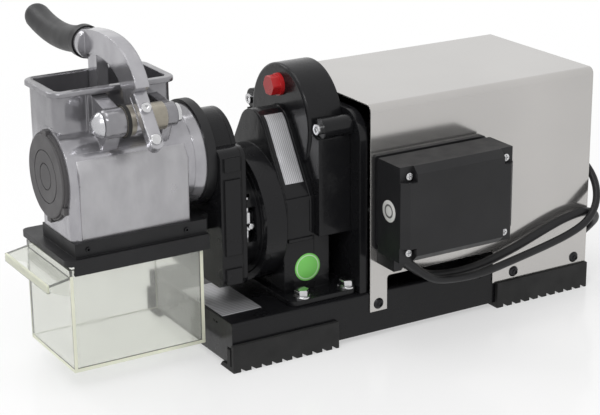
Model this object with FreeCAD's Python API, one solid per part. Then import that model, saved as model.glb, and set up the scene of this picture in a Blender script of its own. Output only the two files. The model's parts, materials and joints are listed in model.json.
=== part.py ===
# Electric cheese grater with a geared motor on a sheet-metal base.
# Every piece is a solid of its own. Millimetres, +Z up, Z = 0 on the table.
#
# The pieces are drawn in the machine's own coordinates: X = 0 at the left end of the
# motor cover (the grating head is at -X), Y = 0 on the upright middle plane (the side
# with the junction box is at -Y). At export all of them move by the same step, so that
# the origin lies under the middle of the whole machine.
import FreeCAD, Part
import math
import os

V = FreeCAD.Vector

# Step from the machine's coordinates to the origin under its middle
step_x = 22.1
step_y = -18.3

# Running and seating gaps
run_gap = 0.05          # shaft in a bearing or bush, radial
seat_gap = 0.02         # ring pressed on a shaft or in a seat, radial
slide_gap = 0.3         # drawer in its rails, soft or loose pieces beside others
free_gap = 0.5          # rotor in its stator, gear in its case

# Shaft heights above the table, all on the middle plane
output_z = 110.0
module_fast = 1.0
module_slow = 2.0
motor_teeth, first_teeth = 18, 70
second_teeth, output_teeth = 18, 50
step_up_teeth, drum_teeth = 41, 22
counter_z = output_z + module_slow * (second_teeth + output_teeth) / 2
motor_z = counter_z - module_fast * (motor_teeth + first_teeth) / 2
drum_z = output_z + module_slow * (step_up_teeth + drum_teeth) / 2

# Base channel and its rubber feet
base_left = -136.3
base_right = 239.0
base_half = 79.3
base_top = 42.6
base_bottom = 4.9
base_sheet = 2.0
base_bend = 3.0
foot_length = 104.0
foot_height = 24.3
foot_wall = 4.0
foot_sole = 4.5
foot_lip = 5.0
foot_reach = 20.0
foot_tooth = 10.0
foot_groove = 3.0

# Motor cover, a bent sheet over the motor
cover_length = 240.0
cover_top = 211.6
cover_bottom = foot_height + slide_gap
cover_sheet = 1.0
cover_half = base_half + slide_gap + cover_sheet
cover_bend = 6.0
notch_left = 17.5
notch_right = 132.3
notch_top = 56.0
cover_screw_x = (8.7, 155.8, 225.8)
cover_screw_z = 31.5
cover_screw_r = 5.0

# Front end shield of the motor, which stands between the gear case and the cover
motor_flange_left, motor_flange_right = -8.5, -0.5

# Gear case
case_front = -70.0
case_split = -40.0
case_back = motor_flange_left
case_wall = 2.5
gear_air = 0.5
case_half = module_slow * (output_teeth + 2) / 2 + gear_air + case_wall
case_low_r = 58.0
case_top_r = 22.5
dome_front = -42.0
dome_z = 187.0
dome_r = 50.0
column_half = 62.0
lug_r = 9.0
lug_front = -37.0
block_half = 53.0
block_top = 97.0
block_back = -25.0
foot_plate = 5.0
foot_plate_half = base_half - 5.3
foot_plate_left = -75.0
foot_plate_right = motor_flange_left - 0.1
foot_bolt_x = (-60.4, -15.2)
foot_bolt_y = foot_plate_half - 8.0
bell_front = -90.0
bell_r = 60.0
bell_cup_r = 54.0
bell_cup_depth = 12.0
plug_z = 219.0
plug_across = 16.0
plug_length = 11.0

# Step-up case between the gear case and the grating head
adapter_left = -128.0
adapter_right = -108.0
adapter_half = 50.0
adapter_bottom = 62.0
adapter_shoulder = 184.0
adapter_corner = 9.0
lobe_r = 35.0
adapter_wall = 3.0
hub_r = 48.0
neck_r = 24.0
ring_left = -136.3
ring_r = 45.5

# Grating head, a casting with its hopper and chute
head_left = -258.0
head_right = -149.0
head_r = 41.0
head_bore_r = 37.0
flange_left = -146.0
flange_r = 43.0
chute_right = -153.0
chute_floor = 126.7
chute_near = -41.0
chute_far = 18.0
chute_wall = 4.0
hopper_near = -16.0
hopper_far = 42.5
hopper_left = -257.0
hopper_right = -153.0
hopper_wall = 3.0
hopper_top = 245.5
hopper_corner = 12.0
rim_out = 4.0
rim_thick = 4.0
rib_x = -228.0
cap_face = -262.2
cap_r = 34.9
cap_plate = 5.0
cap_spigot = 6.0

# Drum
drum_left = -252.0
drum_right = -152.0
drum_r = 33.0
drum_wall = 1.5
drum_tooth = 1.6
drum_rows = 14
drum_per_row = 8
drum_shaft_r = 8.0
drum_journal_r = 6.0

# Lever with its presser
pivot_y = -43.0
pivot_z = 222.0
pin_r = 5.0
lever_x = -198.0
lever_width = 12.0
hub_lever_r = 12.0
boss_left = -231.0
boss_right = -212.0
boss_r = 12.0
lug_left = -176.0
lug_right = -166.0
grip_r = 11.5
grip_reach = 97.9
grip_dip = 5.0
grip_bend_near = 60.0
grip_bend_far = 175.0
presser_thick = 7.0
presser_gap = 3.0
presser_side = 3.0

# Drawer guide and drawer
guide_left = -268.0
guide_right = -139.0
guide_half = 48.5
guide_bottom = 101.3
guide_step = 114.7
guide_skirt = 1.5
guide_lip = 2.0
guide_lip_in = 3.3
block_left_guide = -258.3
block_near_guide = -44.0
block_far_guide = 22.0
drawer_left = -264.6
drawer_right = -143.9
drawer_half = 44.9
drawer_bottom = 16.4
drawer_wall = 3.0
drawer_flange = 2.0
drawer_flange_out = 1.9
handle_reach = 20.0
handle_drop = 3.6
handle_turn_down = 7.0

# Motor under the cover
stator_left, stator_right = 46.0, 126.0
stator_r = 57.0
stator_bore = 33.0
winding_r = stator_r - 5.0
vent_ring = stator_r - 19.0
cradle_half = stator_r - 17.0
cradle_foot_half = stator_r + 1.0
cradle_hollow_half = stator_r - 29.0
cradle_top = motor_z - stator_r + 37.0
winding_reach = 14.0
bell_wall = 4.0
motor_flange_half = base_half - 2.3
motor_flange_top = 205.0
motor_flange_corner = 24.0
rear_bell_right = 158.0
shaft_r = 7.5
bearing_out_r = 17.5
bearing_wide = 11.0
fan_left, fan_right = 166.0, 184.0
fan_r = 50.0
fan_hub_r = 13.0
fan_blades = 9
fan_blade = 2.0
motor_tail = 190.0

# Junction box on the near side of the cover
box_left, box_right = 3.5, 115.5
box_bottom, box_top = 86.0, 166.0
box_deep = 49.5
box_wall = 2.5
lid_deep = 40.0
lid_over = 2.2
lid_bevel = 6.0
pocket_wide = 13.0
pocket_deep = 7.0
body_flange = 4.0
lid_screw_r = 3.2
switch_z = 140.0
switch_wide, switch_high = 19.0, 28.0
gland_tilt = 40.0       # degrees below the horizontal
gland_long = 22.0

# Leads
cord_d = 8.0
lead_d = 7.0


# Basic forms

def box(x0, x1, y0, y1, z0, z1):
    return Part.makeBox(x1 - x0, y1 - y0, z1 - z0, V(x0, y0, z0))


def rod_x(x0, x1, y, z, r):
    return Part.makeCylinder(r, x1 - x0, V(x0, y, z), V(1, 0, 0))


def rod_y(y0, y1, x, z, r):
    return Part.makeCylinder(r, y1 - y0, V(x, y0, z), V(0, 1, 0))


def rod_z(z0, z1, x, y, r):
    return Part.makeCylinder(r, z1 - z0, V(x, y, z0), V(0, 0, 1))


def tube_x(x0, x1, y, z, r_out, r_in):
    return rod_x(x0, x1, y, z, r_out).cut(rod_x(x0 - 1, x1 + 1, y, z, r_in))


def prism_x(points, x0, x1):
    """A closed outline of (y, z) points, drawn along X."""
    wire = Part.makePolygon([V(x0, y, z) for y, z in points + points[:1]])
    return Part.Face(wire).extrude(V(x1 - x0, 0, 0))


def prism_y(points, y0, y1):
    """A closed outline of (x, z) points, drawn along Y."""
    wire = Part.makePolygon([V(x, y0, z) for x, z in points + points[:1]])
    return Part.Face(wire).extrude(V(0, y1 - y0, 0))


def fuse(*shapes):
    whole = shapes[0].multiFuse(list(shapes[1:])) if len(shapes) > 1 else shapes[0]
    return whole.removeSplitter()


def edges_along(shape, axis, test=lambda c: True):
    """Straight edges that run along one axis and whose middle passes the test."""
    found = []
    for edge in shape.Edges:
        if len(edge.Vertexes) != 2:
            continue
        run = edge.Vertexes[1].Point - edge.Vertexes[0].Point
        if run.Length < 1e-6 or abs(abs(run.dot(axis)) / run.Length - 1) > 1e-6:
            continue
        if abs(edge.Length - run.Length) > 1e-6:
            continue
        if test(edge.CenterOfMass):
            found.append(edge)
    return found


X, Y, Z = V(1, 0, 0), V(0, 1, 0), V(0, 0, 1)


def rounded(shape, r, axis, test=lambda c: True):
    return shape.makeFillet(r, edges_along(shape, axis, test))


def mirror_y(shape):
    return shape.mirror(V(0, 0, 0), V(0, 1, 0))


def hexagon_x(x0, x1, y, z, across):
    r = across / math.sqrt(3)
    return prism_x([(y + r * math.cos(math.radians(60 * k)),
                     z + r * math.sin(math.radians(60 * k))) for k in range(6)], x0, x1)


def hexagon_y(y0, y1, x, z, across):
    r = across / math.sqrt(3)
    return prism_y([(x + r * math.cos(math.radians(60 * k)),
                     z + r * math.sin(math.radians(60 * k))) for k in range(6)], y0, y1)


def hexagon_z(x, y, z0, z1, across):
    r = across / math.sqrt(3)
    points = [V(x + r * math.cos(math.radians(60 * k)), y + r * math.sin(math.radians(60 * k)), z0)
              for k in range(7)]
    return Part.Face(Part.makePolygon(points)).extrude(V(0, 0, z1 - z0))


def gear(x0, x1, z, teeth, module, bore, up=0.5):
    """A spur gear on the middle plane. up = 0 sets a tooth at the top, 0.5 a gap."""
    pitch_r = module * teeth / 2
    tip_r, root_r = pitch_r + module * 0.95, pitch_r - module * 1.2
    pitch = 2 * math.pi / teeth
    root_half, pitch_half, tip_half = 0.33 * pitch, 0.235 * pitch, 0.12 * pitch
    points = []
    for k in range(teeth):
        middle = math.pi / 2 + (k + up) * pitch
        for r, half in ((root_r, -root_half), (pitch_r, -pitch_half), (tip_r, -tip_half),
                        (tip_r, tip_half), (pitch_r, pitch_half), (root_r, root_half)):
            angle = middle + half
            points.append((r * math.cos(angle), z + r * math.sin(angle)))
    blank = prism_x(points, x0, x1)
    return blank.cut(rod_x(x0 - 1, x1 + 1, 0, z, bore)) if bore else blank


def arch(x0, x1, half, low_r, top_r, floor_z):
    """The gear case's outline: a big round about the output shaft, a small one about the
    countershaft, their two tangent flanks, and upright sides down to the floor."""
    lean = math.asin((low_r - top_r) / (counter_z - output_z))
    cy, cz = math.cos(lean), math.sin(lean)
    low = (low_r * cy, output_z + low_r * cz)
    top = (top_r * cy, counter_z + top_r * cz)
    face = Part.Face(Part.Wire([
        Part.Arc(V(x0, low[0], low[1]), V(x0, 0, output_z - low_r), V(x0, -low[0], low[1])).toShape(),
        Part.LineSegment(V(x0, -low[0], low[1]), V(x0, -top[0], top[1])).toShape(),
        Part.Arc(V(x0, -top[0], top[1]), V(x0, 0, counter_z + top_r), V(x0, top[0], top[1])).toShape(),
        Part.LineSegment(V(x0, top[0], top[1]), V(x0, low[0], low[1])).toShape()]))
    body = face.extrude(V(x1 - x0, 0, 0))
    skirt = box(x0, x1, -half, half, floor_z, output_z + low_r * 0.4)
    round_part = body.common(box(x0, x1, -half, half, floor_z, cover_top + low_r))
    return fuse(round_part, skirt)


# Base, feet and cover

def base_channel():
    outer = box(base_left, base_right, -base_half, base_half, base_bottom, base_top)
    outer = rounded(outer, base_bend, X, lambda c: c.z > base_top - 1)
    inner = box(base_left + base_sheet, base_right - base_sheet, -base_half + base_sheet,
                base_half - base_sheet, base_bottom - 1, base_top - base_sheet)
    shell = outer.cut(inner)
    for x in foot_bolt_x:
        for side in (-1, 1):
            shell = shell.cut(rod_z(base_bottom, base_top + 1, x, side * foot_bolt_y, 3.1))
    for x in (base_left, base_right):
        for side in (-1, 1):
            y0, y1 = side * (base_half - base_sheet), side * (base_half - base_sheet - foot_lip - 2)
            shell = shell.cut(box(x - 3, x + 3, min(y0, y1), max(y0, y1), base_bottom - 1,
                                  foot_height - 4))
    shell = shell.cut(rod_y(-base_half - 1, -base_half + base_sheet + 1, notch_right - 14, 34.0, 2.2))
    for x in cover_screw_x:
        shell = shell.cut(rod_y(-base_half - 1, base_half + 1, x, cover_screw_z, 2.1))
    return shell


def foot_at(x0):
    """One rubber profile clipped on the near lower edge of the base."""
    face_y = -base_half - foot_wall
    slot_out, slot_in = -base_half - slide_gap, -base_half + base_sheet + slide_gap
    outline = [(face_y, foot_height), (face_y, 0), (face_y + foot_reach + foot_wall, 0),
               (face_y + foot_reach, foot_sole), (slot_in + foot_lip, foot_sole),
               (slot_in + foot_lip, foot_height - 5), (slot_in, foot_height - 5),
               (slot_in, base_bottom - slide_gap), (slot_out, base_bottom - slide_gap),
               (slot_out, foot_height)]
    foot = prism_x(outline, x0, x0 + foot_length)
    count = int(foot_length / foot_tooth)
    for k in range(count):
        x = x0 + (k + 0.7) * foot_tooth
        groove = [(x, -1), (x + foot_tooth * 0.45, -1), (x + foot_tooth * 0.45, 0), (x, foot_groove)]
        foot = foot.cut(prism_y(groove, face_y - 1, face_y + foot_reach + foot_wall + 1))
    return foot


def feet(x0):
    near = foot_at(x0)
    return Part.makeCompound([near, mirror_y(near)])


def motor_cover():
    outer = box(0, cover_length, -cover_half, cover_half, cover_bottom, cover_top)
    outer = rounded(outer, cover_bend, X, lambda c: c.z > cover_top - 1)
    inner = box(-1, cover_length + 1, -cover_half + cover_sheet, cover_half - cover_sheet,
                cover_bottom - 1, cover_top - cover_sheet)
    inner = rounded(inner, cover_bend - cover_sheet, X, lambda c: c.z > cover_top - 2)
    sheet = outer.cut(inner)
    notch = box(notch_left, notch_right, -cover_half - 1, -cover_half + cover_sheet + 1,
                cover_bottom - 1, notch_top)
    notch = rounded(notch, 3.0, Y, lambda c: c.z > notch_top - 1)
    sheet = sheet.cut(notch)
    for x in cover_screw_x:
        sheet = sheet.cut(rod_y(-cover_half - 1, cover_half + 1, x, cover_screw_z, 2.3))
    for x in (lead_hole_x - 10, lead_hole_x + 10):
        sheet = sheet.cut(rod_y(-cover_half - 1, -cover_half + 2, x, lead_hole_z, 4.0))
    return sheet


lead_hole_x = (box_left + box_right) / 2
lead_hole_z = (box_bottom + box_top) / 2


def cover_screws():
    screws = []
    for x in cover_screw_x:
        head = Part.makeSphere(cover_screw_r * 1.25, V(x, -cover_half + cover_screw_r * 0.72, cover_screw_z))
        head = head.common(box(x - 9, x + 9, -cover_half - 4, -cover_half,
                               cover_screw_z - 9, cover_screw_z + 9))
        shank = rod_y(-cover_half, -base_half + base_sheet + 3, x, cover_screw_z, 2.0)
        screw = fuse(head, shank)
        screws += [screw, mirror_y(screw)]
    return Part.makeCompound(screws)


def rear_panel():
    """Slotted plate that closes the right end of the cover behind the fan."""
    half, low, high = cover_half - cover_sheet - slide_gap, base_top, cover_top - cover_sheet - slide_gap
    plate = box(panel_left, panel_left + panel_thick, -half, half, low, high)
    plate = rounded(plate, cover_bend - cover_sheet, X, lambda c: c.z > high - 1)
    for k in range(panel_slots):
        z = motor_z + (k - (panel_slots - 1) / 2) * 11.0
        reach = math.sqrt(fan_r ** 2 - min(abs(z - motor_z), fan_r - 6) ** 2)
        slot = box(panel_left - 1, panel_left + panel_thick + 1, -reach, reach, z - 2.2, z + 2.2)
        plate = plate.cut(slot)
    plate = plate.cut(rod_x(panel_left - 1, panel_left + panel_thick + 1, lead_in_y, lead_in_z,
                            lead_d / 2 + 1.5))
    return plate


panel_left = 214.0
panel_thick = 2.0
panel_slots = 7
lead_in_y = -cover_half + 26.6
lead_in_z = 129.0


def lead_grommet():
    ring = tube_x(panel_left - 2, panel_left + panel_thick + 2, lead_in_y, lead_in_z,
                  lead_d / 2 + 3.5, lead_d / 2 + seat_gap)
    groove = tube_x(panel_left - seat_gap, panel_left + panel_thick + seat_gap, lead_in_y, lead_in_z,
                    lead_d / 2 + 5, lead_d / 2 + 1.5 - seat_gap)
    return ring.cut(groove)


# Gear case with its shafts

small_out_r, small_wide = 13.0, 8.0
counter_r = 6.0
bush_out_r = 8.5
output_r = 10.0
output_tail_r = 7.5
tail_out_r = 17.5
big_out_r, big_wide = 21.0, 9.0


def case_cavity():
    """Space for the gears: both stages, split over the two halves of the case."""
    slow = arch(case_front + case_wall, case_split, case_half - case_wall, case_low_r - case_wall,
                case_top_r - 1.6, output_z - case_half + case_wall)
    slow = slow.common(box(case_front, case_split, -case_half, case_half, base_top + foot_plate + 4,
                             cover_top))
    lower = rod_x(case_front + case_wall, case_split, 0, output_z, case_half - case_wall)
    return slow.common(fuse(lower, box(case_front, case_split, -case_half, case_half, output_z,
                                         cover_top)))


def gear_case_front():
    shell = arch(case_front, case_split, case_half, case_low_r, case_top_r, block_top)
    block = box(case_front, case_split, -block_half, block_half, base_top + foot_plate, block_top)
    bell = rod_x(bell_front, case_front, 0, output_z, bell_r)
    shell = fuse(shell, block, bell)
    shell = shell.cut(case_cavity())
    shell = shell.cut(tube_x(bell_front - 1, bell_front + bell_cup_depth, 0, output_z, bell_cup_r,
                             neck_r + 6))
    shell = shell.cut(rod_x(bell_front - 1, case_front + case_wall + 1, 0, output_z, output_r + 3))
    shell = shell.cut(rod_x(case_front - 6, case_front - 6 + big_wide, 0, output_z, big_out_r + seat_gap))
    nose_boss = rod_x(case_front + 1, slow_left - 0.7, 0, counter_z, bush_out_r + 3)
    shell = fuse(shell, nose_boss)
    shell = shell.cut(rod_x(case_front + case_wall, slow_left, 0, counter_z, bush_out_r + seat_gap))
    ribs = []
    for side in (-1, 1):
        y = side * (case_half - 1.5)
        ribs.append(box(case_front + 3, case_split - 3, min(y, y + side * 3), max(y, y + side * 3),
                        block_top - 3, block_top))
    return fuse(shell, *ribs)


def lugs(x0, x1):
    return [rod_x(x0, x1, side * lug_y, lug_z, lug_r) for side in (-1, 1)]


lug_y = 58.8
lug_z = 192.0


def gear_case_rear():
    dome = rod_x(dome_front, case_back, 0, dome_z, dome_r)
    dome = dome.makeFillet(3.0, [e for e in dome.Edges if e.Curve.TypeId == "Part::GeomCircle"
                                 and abs(e.CenterOfMass.x - dome_front) < 0.1])
    column = box(case_split, case_back, -column_half, column_half, block_top, lug_z)
    column = rounded(column, 10.0, X, lambda c: c.z > lug_z - 1)
    block = box(case_split, block_back, -block_half, block_half, base_top + foot_plate, block_top)
    plate = box(foot_plate_left, foot_plate_right, -foot_plate_half, foot_plate_half,
                base_top, base_top + foot_plate)
    plate = rounded(plate, 6.0, Z)
    for lug in lugs(case_front, lug_front):
        column = column.cut(lug)
    body = fuse(dome, column, block, plate, *lugs(lug_front, case_back))
    front = arch(case_front - 1, case_split, case_half + slide_gap, case_low_r + slide_gap,
                 case_top_r + slide_gap, block_top)
    body = body.cut(front.common(box(case_front, case_split, -case_half - 9, case_half + 9,
                                      base_top + foot_plate, cover_top)))
    slow = rod_x(case_split - 1, case_split + 6, 0, output_z, case_half - case_wall)
    fast = rod_x(case_split, rear_seat - 2, 0, counter_z, first_r + 3)
    entry = rod_x(case_split, rear_seat - 2, 0, motor_z, motor_pinion_r + 3)
    body = body.cut(fuse(slow, fast, entry))
    body = body.cut(rod_x(rear_seat - 3, case_back + 1, 0, motor_z, nose_r + 0.8))
    body = body.cut(rod_x(case_split, rear_seat + 1, 0, output_z, output_tail_r + 2))
    for z, r in ((output_z, tail_out_r), (counter_z, small_out_r)):
        body = body.cut(rod_x(rear_seat, rear_seat + small_wide + 1, 0, z, r + seat_gap))
        body = body.cut(rod_x(rear_seat - 3, rear_seat + 1, 0, z, r - 4))
    for x in foot_bolt_x:
        for side in (-1, 1):
            body = body.cut(rod_z(base_top - 1, base_top + foot_plate + 1, x, side * foot_bolt_y, 3.2))
    for side in (-1, 1):
        body = body.cut(rod_x(lug_front - 1, case_back + 1, side * lug_y, lug_z, 3.0))
    body = body.cut(rod_x(dome_front - 1, dome_front + 7, 0, plug_z, 5.0 + seat_gap))
    return body


first_r = module_fast * first_teeth / 2
motor_pinion_r = module_fast * motor_teeth / 2
rear_seat = -19.0


def oil_plug():
    head = hexagon_x(dome_front - plug_length, dome_front - 3, 0, plug_z, plug_across)
    head = head.common(rod_x(dome_front - plug_length, dome_front, 0, plug_z, plug_across * 0.555))
    collar = rod_x(dome_front - 3, dome_front, 0, plug_z, plug_across * 0.62)
    return fuse(head, collar, rod_x(dome_front, dome_front + 6, 0, plug_z, 5.0))


def socket_screw_x(face_x, y, z, r, head_long, shank_r, shank_long):
    """Socket-head screw whose head stands on a face that looks to -X."""
    head = rod_x(face_x - head_long, face_x, y, z, r)
    head = head.cut(hexagon_x(face_x - head_long - 1, face_x - head_long * 0.45, y, z, r))
    return fuse(head, rod_x(face_x, face_x + shank_long, y, z, shank_r))


def case_screws():
    return Part.makeCompound([socket_screw_x(lug_front, side * lug_y, lug_z, 4.6, 4.0, 2.8, 33.0)
                              for side in (-1, 1)])


def foot_bolts():
    bolts = []
    top = base_top + foot_plate
    for x in foot_bolt_x:
        for side in (-1, 1):
            y = side * foot_bolt_y
            bolt = fuse(rod_z(top, top + 1.6, x, y, 6.3), hexagon_z(x, y, top + 1.6, top + 6.2, 10.0),
                        rod_z(base_top - base_sheet - 7, top, x, y, 2.95),
                        hexagon_z(x, y, base_top - base_sheet - 5, base_top - base_sheet, 10.0))
            bolts.append(bolt)
    return Part.makeCompound(bolts)


def ball_bearing(x0, wide, z, r_out, r_in):
    """Outer and inner ring in one, with the shield's step between them."""
    ring = tube_x(x0, x0 + wide, 0, z, r_out, r_in)
    mid_out, mid_in = r_in + (r_out - r_in) * 0.68, r_in + (r_out - r_in) * 0.32
    for x in (x0 - 0.1, x0 + wide - 0.7):
        ring = ring.cut(tube_x(x, x + 0.8, 0, z, mid_out, mid_in))
    return ring


output_front_seat = case_front - 6.0


def case_bearings():
    return Part.makeCompound([
        ball_bearing(output_front_seat, big_wide, output_z, big_out_r, output_r + run_gap),
        ball_bearing(rear_seat, small_wide, output_z, tail_out_r, output_tail_r + run_gap),
        ball_bearing(rear_seat, small_wide, counter_z, small_out_r, counter_r + run_gap),
        tube_x(case_front + case_wall + 0.1, slow_left - 0.8, 0, counter_z, bush_out_r,
               counter_r + run_gap)])


slow_left, slow_right = -62.0, -47.0
fast_left, fast_right = -35.0, -24.0


def countershaft():
    """Shaft with the slow pinion cut on it; the case carries both its ends."""
    pinion = gear(slow_left, slow_right, counter_z, second_teeth, module_slow, 0, 0.5)
    shaft = rod_x(counter_nose, rear_seat + small_wide - 1, 0, counter_z, counter_r)
    shoulder = rod_x(slow_right, fast_left - seat_gap, 0, counter_z, counter_r + 3)
    return fuse(pinion, shaft, shoulder)


counter_nose = case_front + case_wall + slide_gap


def first_gear():
    wheel = gear(fast_left, fast_right, counter_z, first_teeth, module_fast, counter_r + seat_gap, 0.5)
    for x in (fast_left - 1, fast_right - 3):
        wheel = wheel.cut(tube_x(x, x + 4, 0, counter_z, first_r - 6, counter_r + 6))
    return wheel


def output_gear():
    wheel = gear(slow_left + 0.5, slow_right - 0.5, output_z, output_teeth, module_slow,
                 output_r + seat_gap, 0.0)
    for x in (slow_left - 1, slow_right - 3.5):
        wheel = wheel.cut(tube_x(x, x + 4.5, 0, output_z, module_slow * output_teeth / 2 - 9, output_r + 8))
    for k in range(6):
        a = math.radians(60 * k + 30)
        r = (module_slow * output_teeth / 2 - 9 + output_r + 8) / 2
        wheel = wheel.cut(rod_x(slow_left - 1, slow_right + 1, r * math.cos(a),
                                output_z + r * math.sin(a), 5.0))
    return wheel


def output_shaft():
    thick = rod_x(step_left - 1.0, case_split + 4, 0, output_z, output_r)
    tail = rod_x(case_split + 4, rear_seat + small_wide - 1, 0, output_z, output_tail_r)
    return fuse(thick, tail)


step_left, step_right = -124.0, -112.0


def step_up_gear():
    return gear(step_left, step_right, output_z, step_up_teeth, module_slow, output_r + seat_gap, 0.0)


def drum_pinion():
    return gear(step_left - 0.5, step_right + 0.5, drum_z, drum_teeth, module_slow,
                drum_shaft_r + seat_gap, 0.5)


# Step-up case

def step_outline(x0, x1, half, low, shoulder, corner, top_r):
    slab = rounded(box(x0, x1, -half, half, low, shoulder), corner, X)
    return fuse(slab, rod_x(x0, x1, 0, drum_z, top_r))


def adapter_case():
    body = step_outline(adapter_left, adapter_right, adapter_half, adapter_bottom, adapter_shoulder,
                        adapter_corner, lobe_r)
    ribs = []
    for side in (-1, 1):
        for low, high, out in ((adapter_shoulder - 18, adapter_shoulder - 6, 2.0),
                               (adapter_bottom + 30, adapter_shoulder - 25, 2.0),
                               (adapter_bottom + 4, adapter_bottom + 18, 2.0)):
            y0 = side * (adapter_half - 1)
            y1 = side * (adapter_half + out)
            ribs.append(box(adapter_left + 3, adapter_right - 2, min(y0, y1), max(y0, y1), low, high))
    body = fuse(body, *ribs)
    wheel_space = rod_x(adapter_left + adapter_wall, adapter_right + 1, 0, output_z,
                        module_slow * (step_up_teeth + 2) / 2 + 1.5)
    pinion_space = rod_x(adapter_left + adapter_wall, adapter_right + 1, 0, drum_z,
                         module_slow * (drum_teeth + 2) / 2 + 1.5)
    body = body.cut(fuse(wheel_space, pinion_space))
    body = body.cut(rod_x(adapter_left - 1, adapter_left + adapter_wall + 1, 0, drum_z, drum_shaft_r + 1))
    return body


def adapter_plate():
    """Rear wall of the step-up case with the round hub that enters the gear case's bell."""
    plate = step_outline(adapter_right, adapter_right + 4, adapter_half, adapter_bottom, adapter_shoulder,
                         adapter_corner, lobe_r)
    hub = rod_x(adapter_right + 4, bell_front - slide_gap, 0, output_z, hub_r)
    neck = rod_x(bell_front - slide_gap, bell_front + bell_cup_depth - slide_gap, 0, output_z, bell_cup_r - 1)
    neck = neck.cut(rod_x(bell_front - 1, bell_front + bell_cup_depth, 0, output_z, neck_r + 6 + seat_gap))
    body = fuse(plate, hub, neck)
    pocket = box(clamp_x - 5.6, clamp_x + 5.6, -hub_r - 1, -hub_r + 17, clamp_z - 14, clamp_z + 16)
    body = body.cut(pocket)
    body = body.cut(rod_z(clamp_z - 24, clamp_z + 26, clamp_x, clamp_y, 2.9 + seat_gap))
    body = body.cut(rod_x(adapter_right - 1, bell_front + 20, 0, output_z, output_r + 2))
    body = body.cut(rod_x(adapter_right - 1, adapter_right + 1, 0, drum_z, drum_shaft_r + 3))
    return body


clamp_x = -98.0
clamp_y = -hub_r + 10
clamp_z = 113.0


def clamp_bolt():
    """Bolt across the hub's pocket that clamps the step-up case on the gear case."""
    shank = rod_z(clamp_z - 22, clamp_z + 24, clamp_x, clamp_y, 2.9)
    head = hexagon_z(clamp_x, clamp_y, clamp_z - 3, clamp_z + 3, 9.0)
    nut = hexagon_z(clamp_x, clamp_y, clamp_z + 5, clamp_z + 10, 9.0)
    wing = rod_y(clamp_y - 9, clamp_y, clamp_x, clamp_z, 2.4)
    return fuse(shank, head, nut, wing)


def spacer_ring():
    return tube_x(ring_left, adapter_left, 0, drum_z, ring_r, drum_shaft_r + 6 + 10)


def drum_bearing():
    """Bronze bush in the ring between the head and the step-up case."""
    return tube_x(ring_left + 0.5, adapter_left - 0.3, 0, drum_z, drum_shaft_r + 16 - seat_gap,
                  drum_shaft_r + run_gap)


# Grating head

def head_body():
    barrel = rod_x(head_left, head_right, 0, drum_z, head_r)
    cheek = box(head_left, chute_right, chute_near, chute_far, chute_floor, drum_z)
    cheek = rounded(cheek, 8.0, Z, lambda c: c.y < 0 and c.x < head_left + 1)
    neck = rod_x(head_right, flange_left, 0, drum_z, head_r)
    flange = Part.makeCone(flange_r - 1.5, flange_r, ring_left - flange_left, V(flange_left, 0, drum_z), X)
    tower = box(hopper_left, hopper_right, hopper_near, hopper_far, drum_z, hopper_top - rim_thick)
    tower = rounded(tower, hopper_corner - rim_out, Z)
    rim = box(hopper_left - rim_out, hopper_right + rim_out, hopper_near - rim_out, hopper_far + rim_out,
              hopper_top - rim_thick, hopper_top)
    rim = rounded(rim, hopper_corner, Z)
    rim = rim.makeFillet(rim_thick * 0.45, [e for e in rim.Edges
                                            if abs(e.CenterOfMass.z - hopper_top) < 0.1])
    rib = box(rib_x - 2, rib_x + 2, hopper_near - 3, hopper_near + 1, drum_z + 20, hopper_top - rim_thick)
    boss = rod_x(boss_left, boss_right, pivot_y, pivot_z, boss_r)
    boss = boss.makeFillet(4.0, [e for e in boss.Edges if e.Curve.TypeId == "Part::GeomCircle"
                                 and abs(e.CenterOfMass.x - boss_left) < 0.1])
    web = prism_x([(pivot_y - 2, pivot_z + boss_r - 2), (hopper_near + 1, pivot_z + boss_r + 6),
                   (hopper_near + 1, drum_z + 25), (pivot_y + 8, drum_z + 25),
                   (pivot_y, pivot_z - boss_r + 1)],
                  boss_left + 5, boss_right - 1)
    lug = rod_x(lug_left, lug_right, pivot_y, pivot_z, boss_r - 2)
    lug_web = prism_x([(pivot_y, pivot_z + boss_r - 3), (hopper_near + 1, pivot_z + boss_r),
                       (hopper_near + 1, drum_z + 25), (pivot_y + 8, drum_z + 25),
                       (pivot_y, pivot_z - boss_r + 3)], lug_left + 1, lug_right - 1)
    body = fuse(barrel, cheek, neck, flange, tower, rim, rib, boss, web, lug, lug_web)
    bore = rod_x(head_left - 1, head_right - 3, 0, drum_z, head_bore_r)
    shaft_way = rod_x(head_right - 4, ring_left + 1, 0, drum_z, drum_shaft_r + 1.5)
    inlet = box(hopper_left + hopper_wall, hopper_right - hopper_wall, hopper_near + hopper_wall,
                hopper_far - hopper_wall, drum_z + 12, hopper_top + 1)
    inlet = rounded(inlet, hopper_corner - rim_out - hopper_wall, Z)
    outlet = box(head_left + chute_wall, chute_right - chute_wall, chute_near + chute_wall,
                 chute_far - chute_wall, chute_floor - 1, drum_z - 15)
    outlet = rounded(outlet, 4.0, Z)
    body = body.cut(bore).cut(shaft_way).cut(inlet).cut(outlet)
    pin_way = rod_x(boss_left + 3, lug_right + 1, pivot_y, pivot_z, pin_r + seat_gap)
    return body.cut(pin_way)


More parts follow.
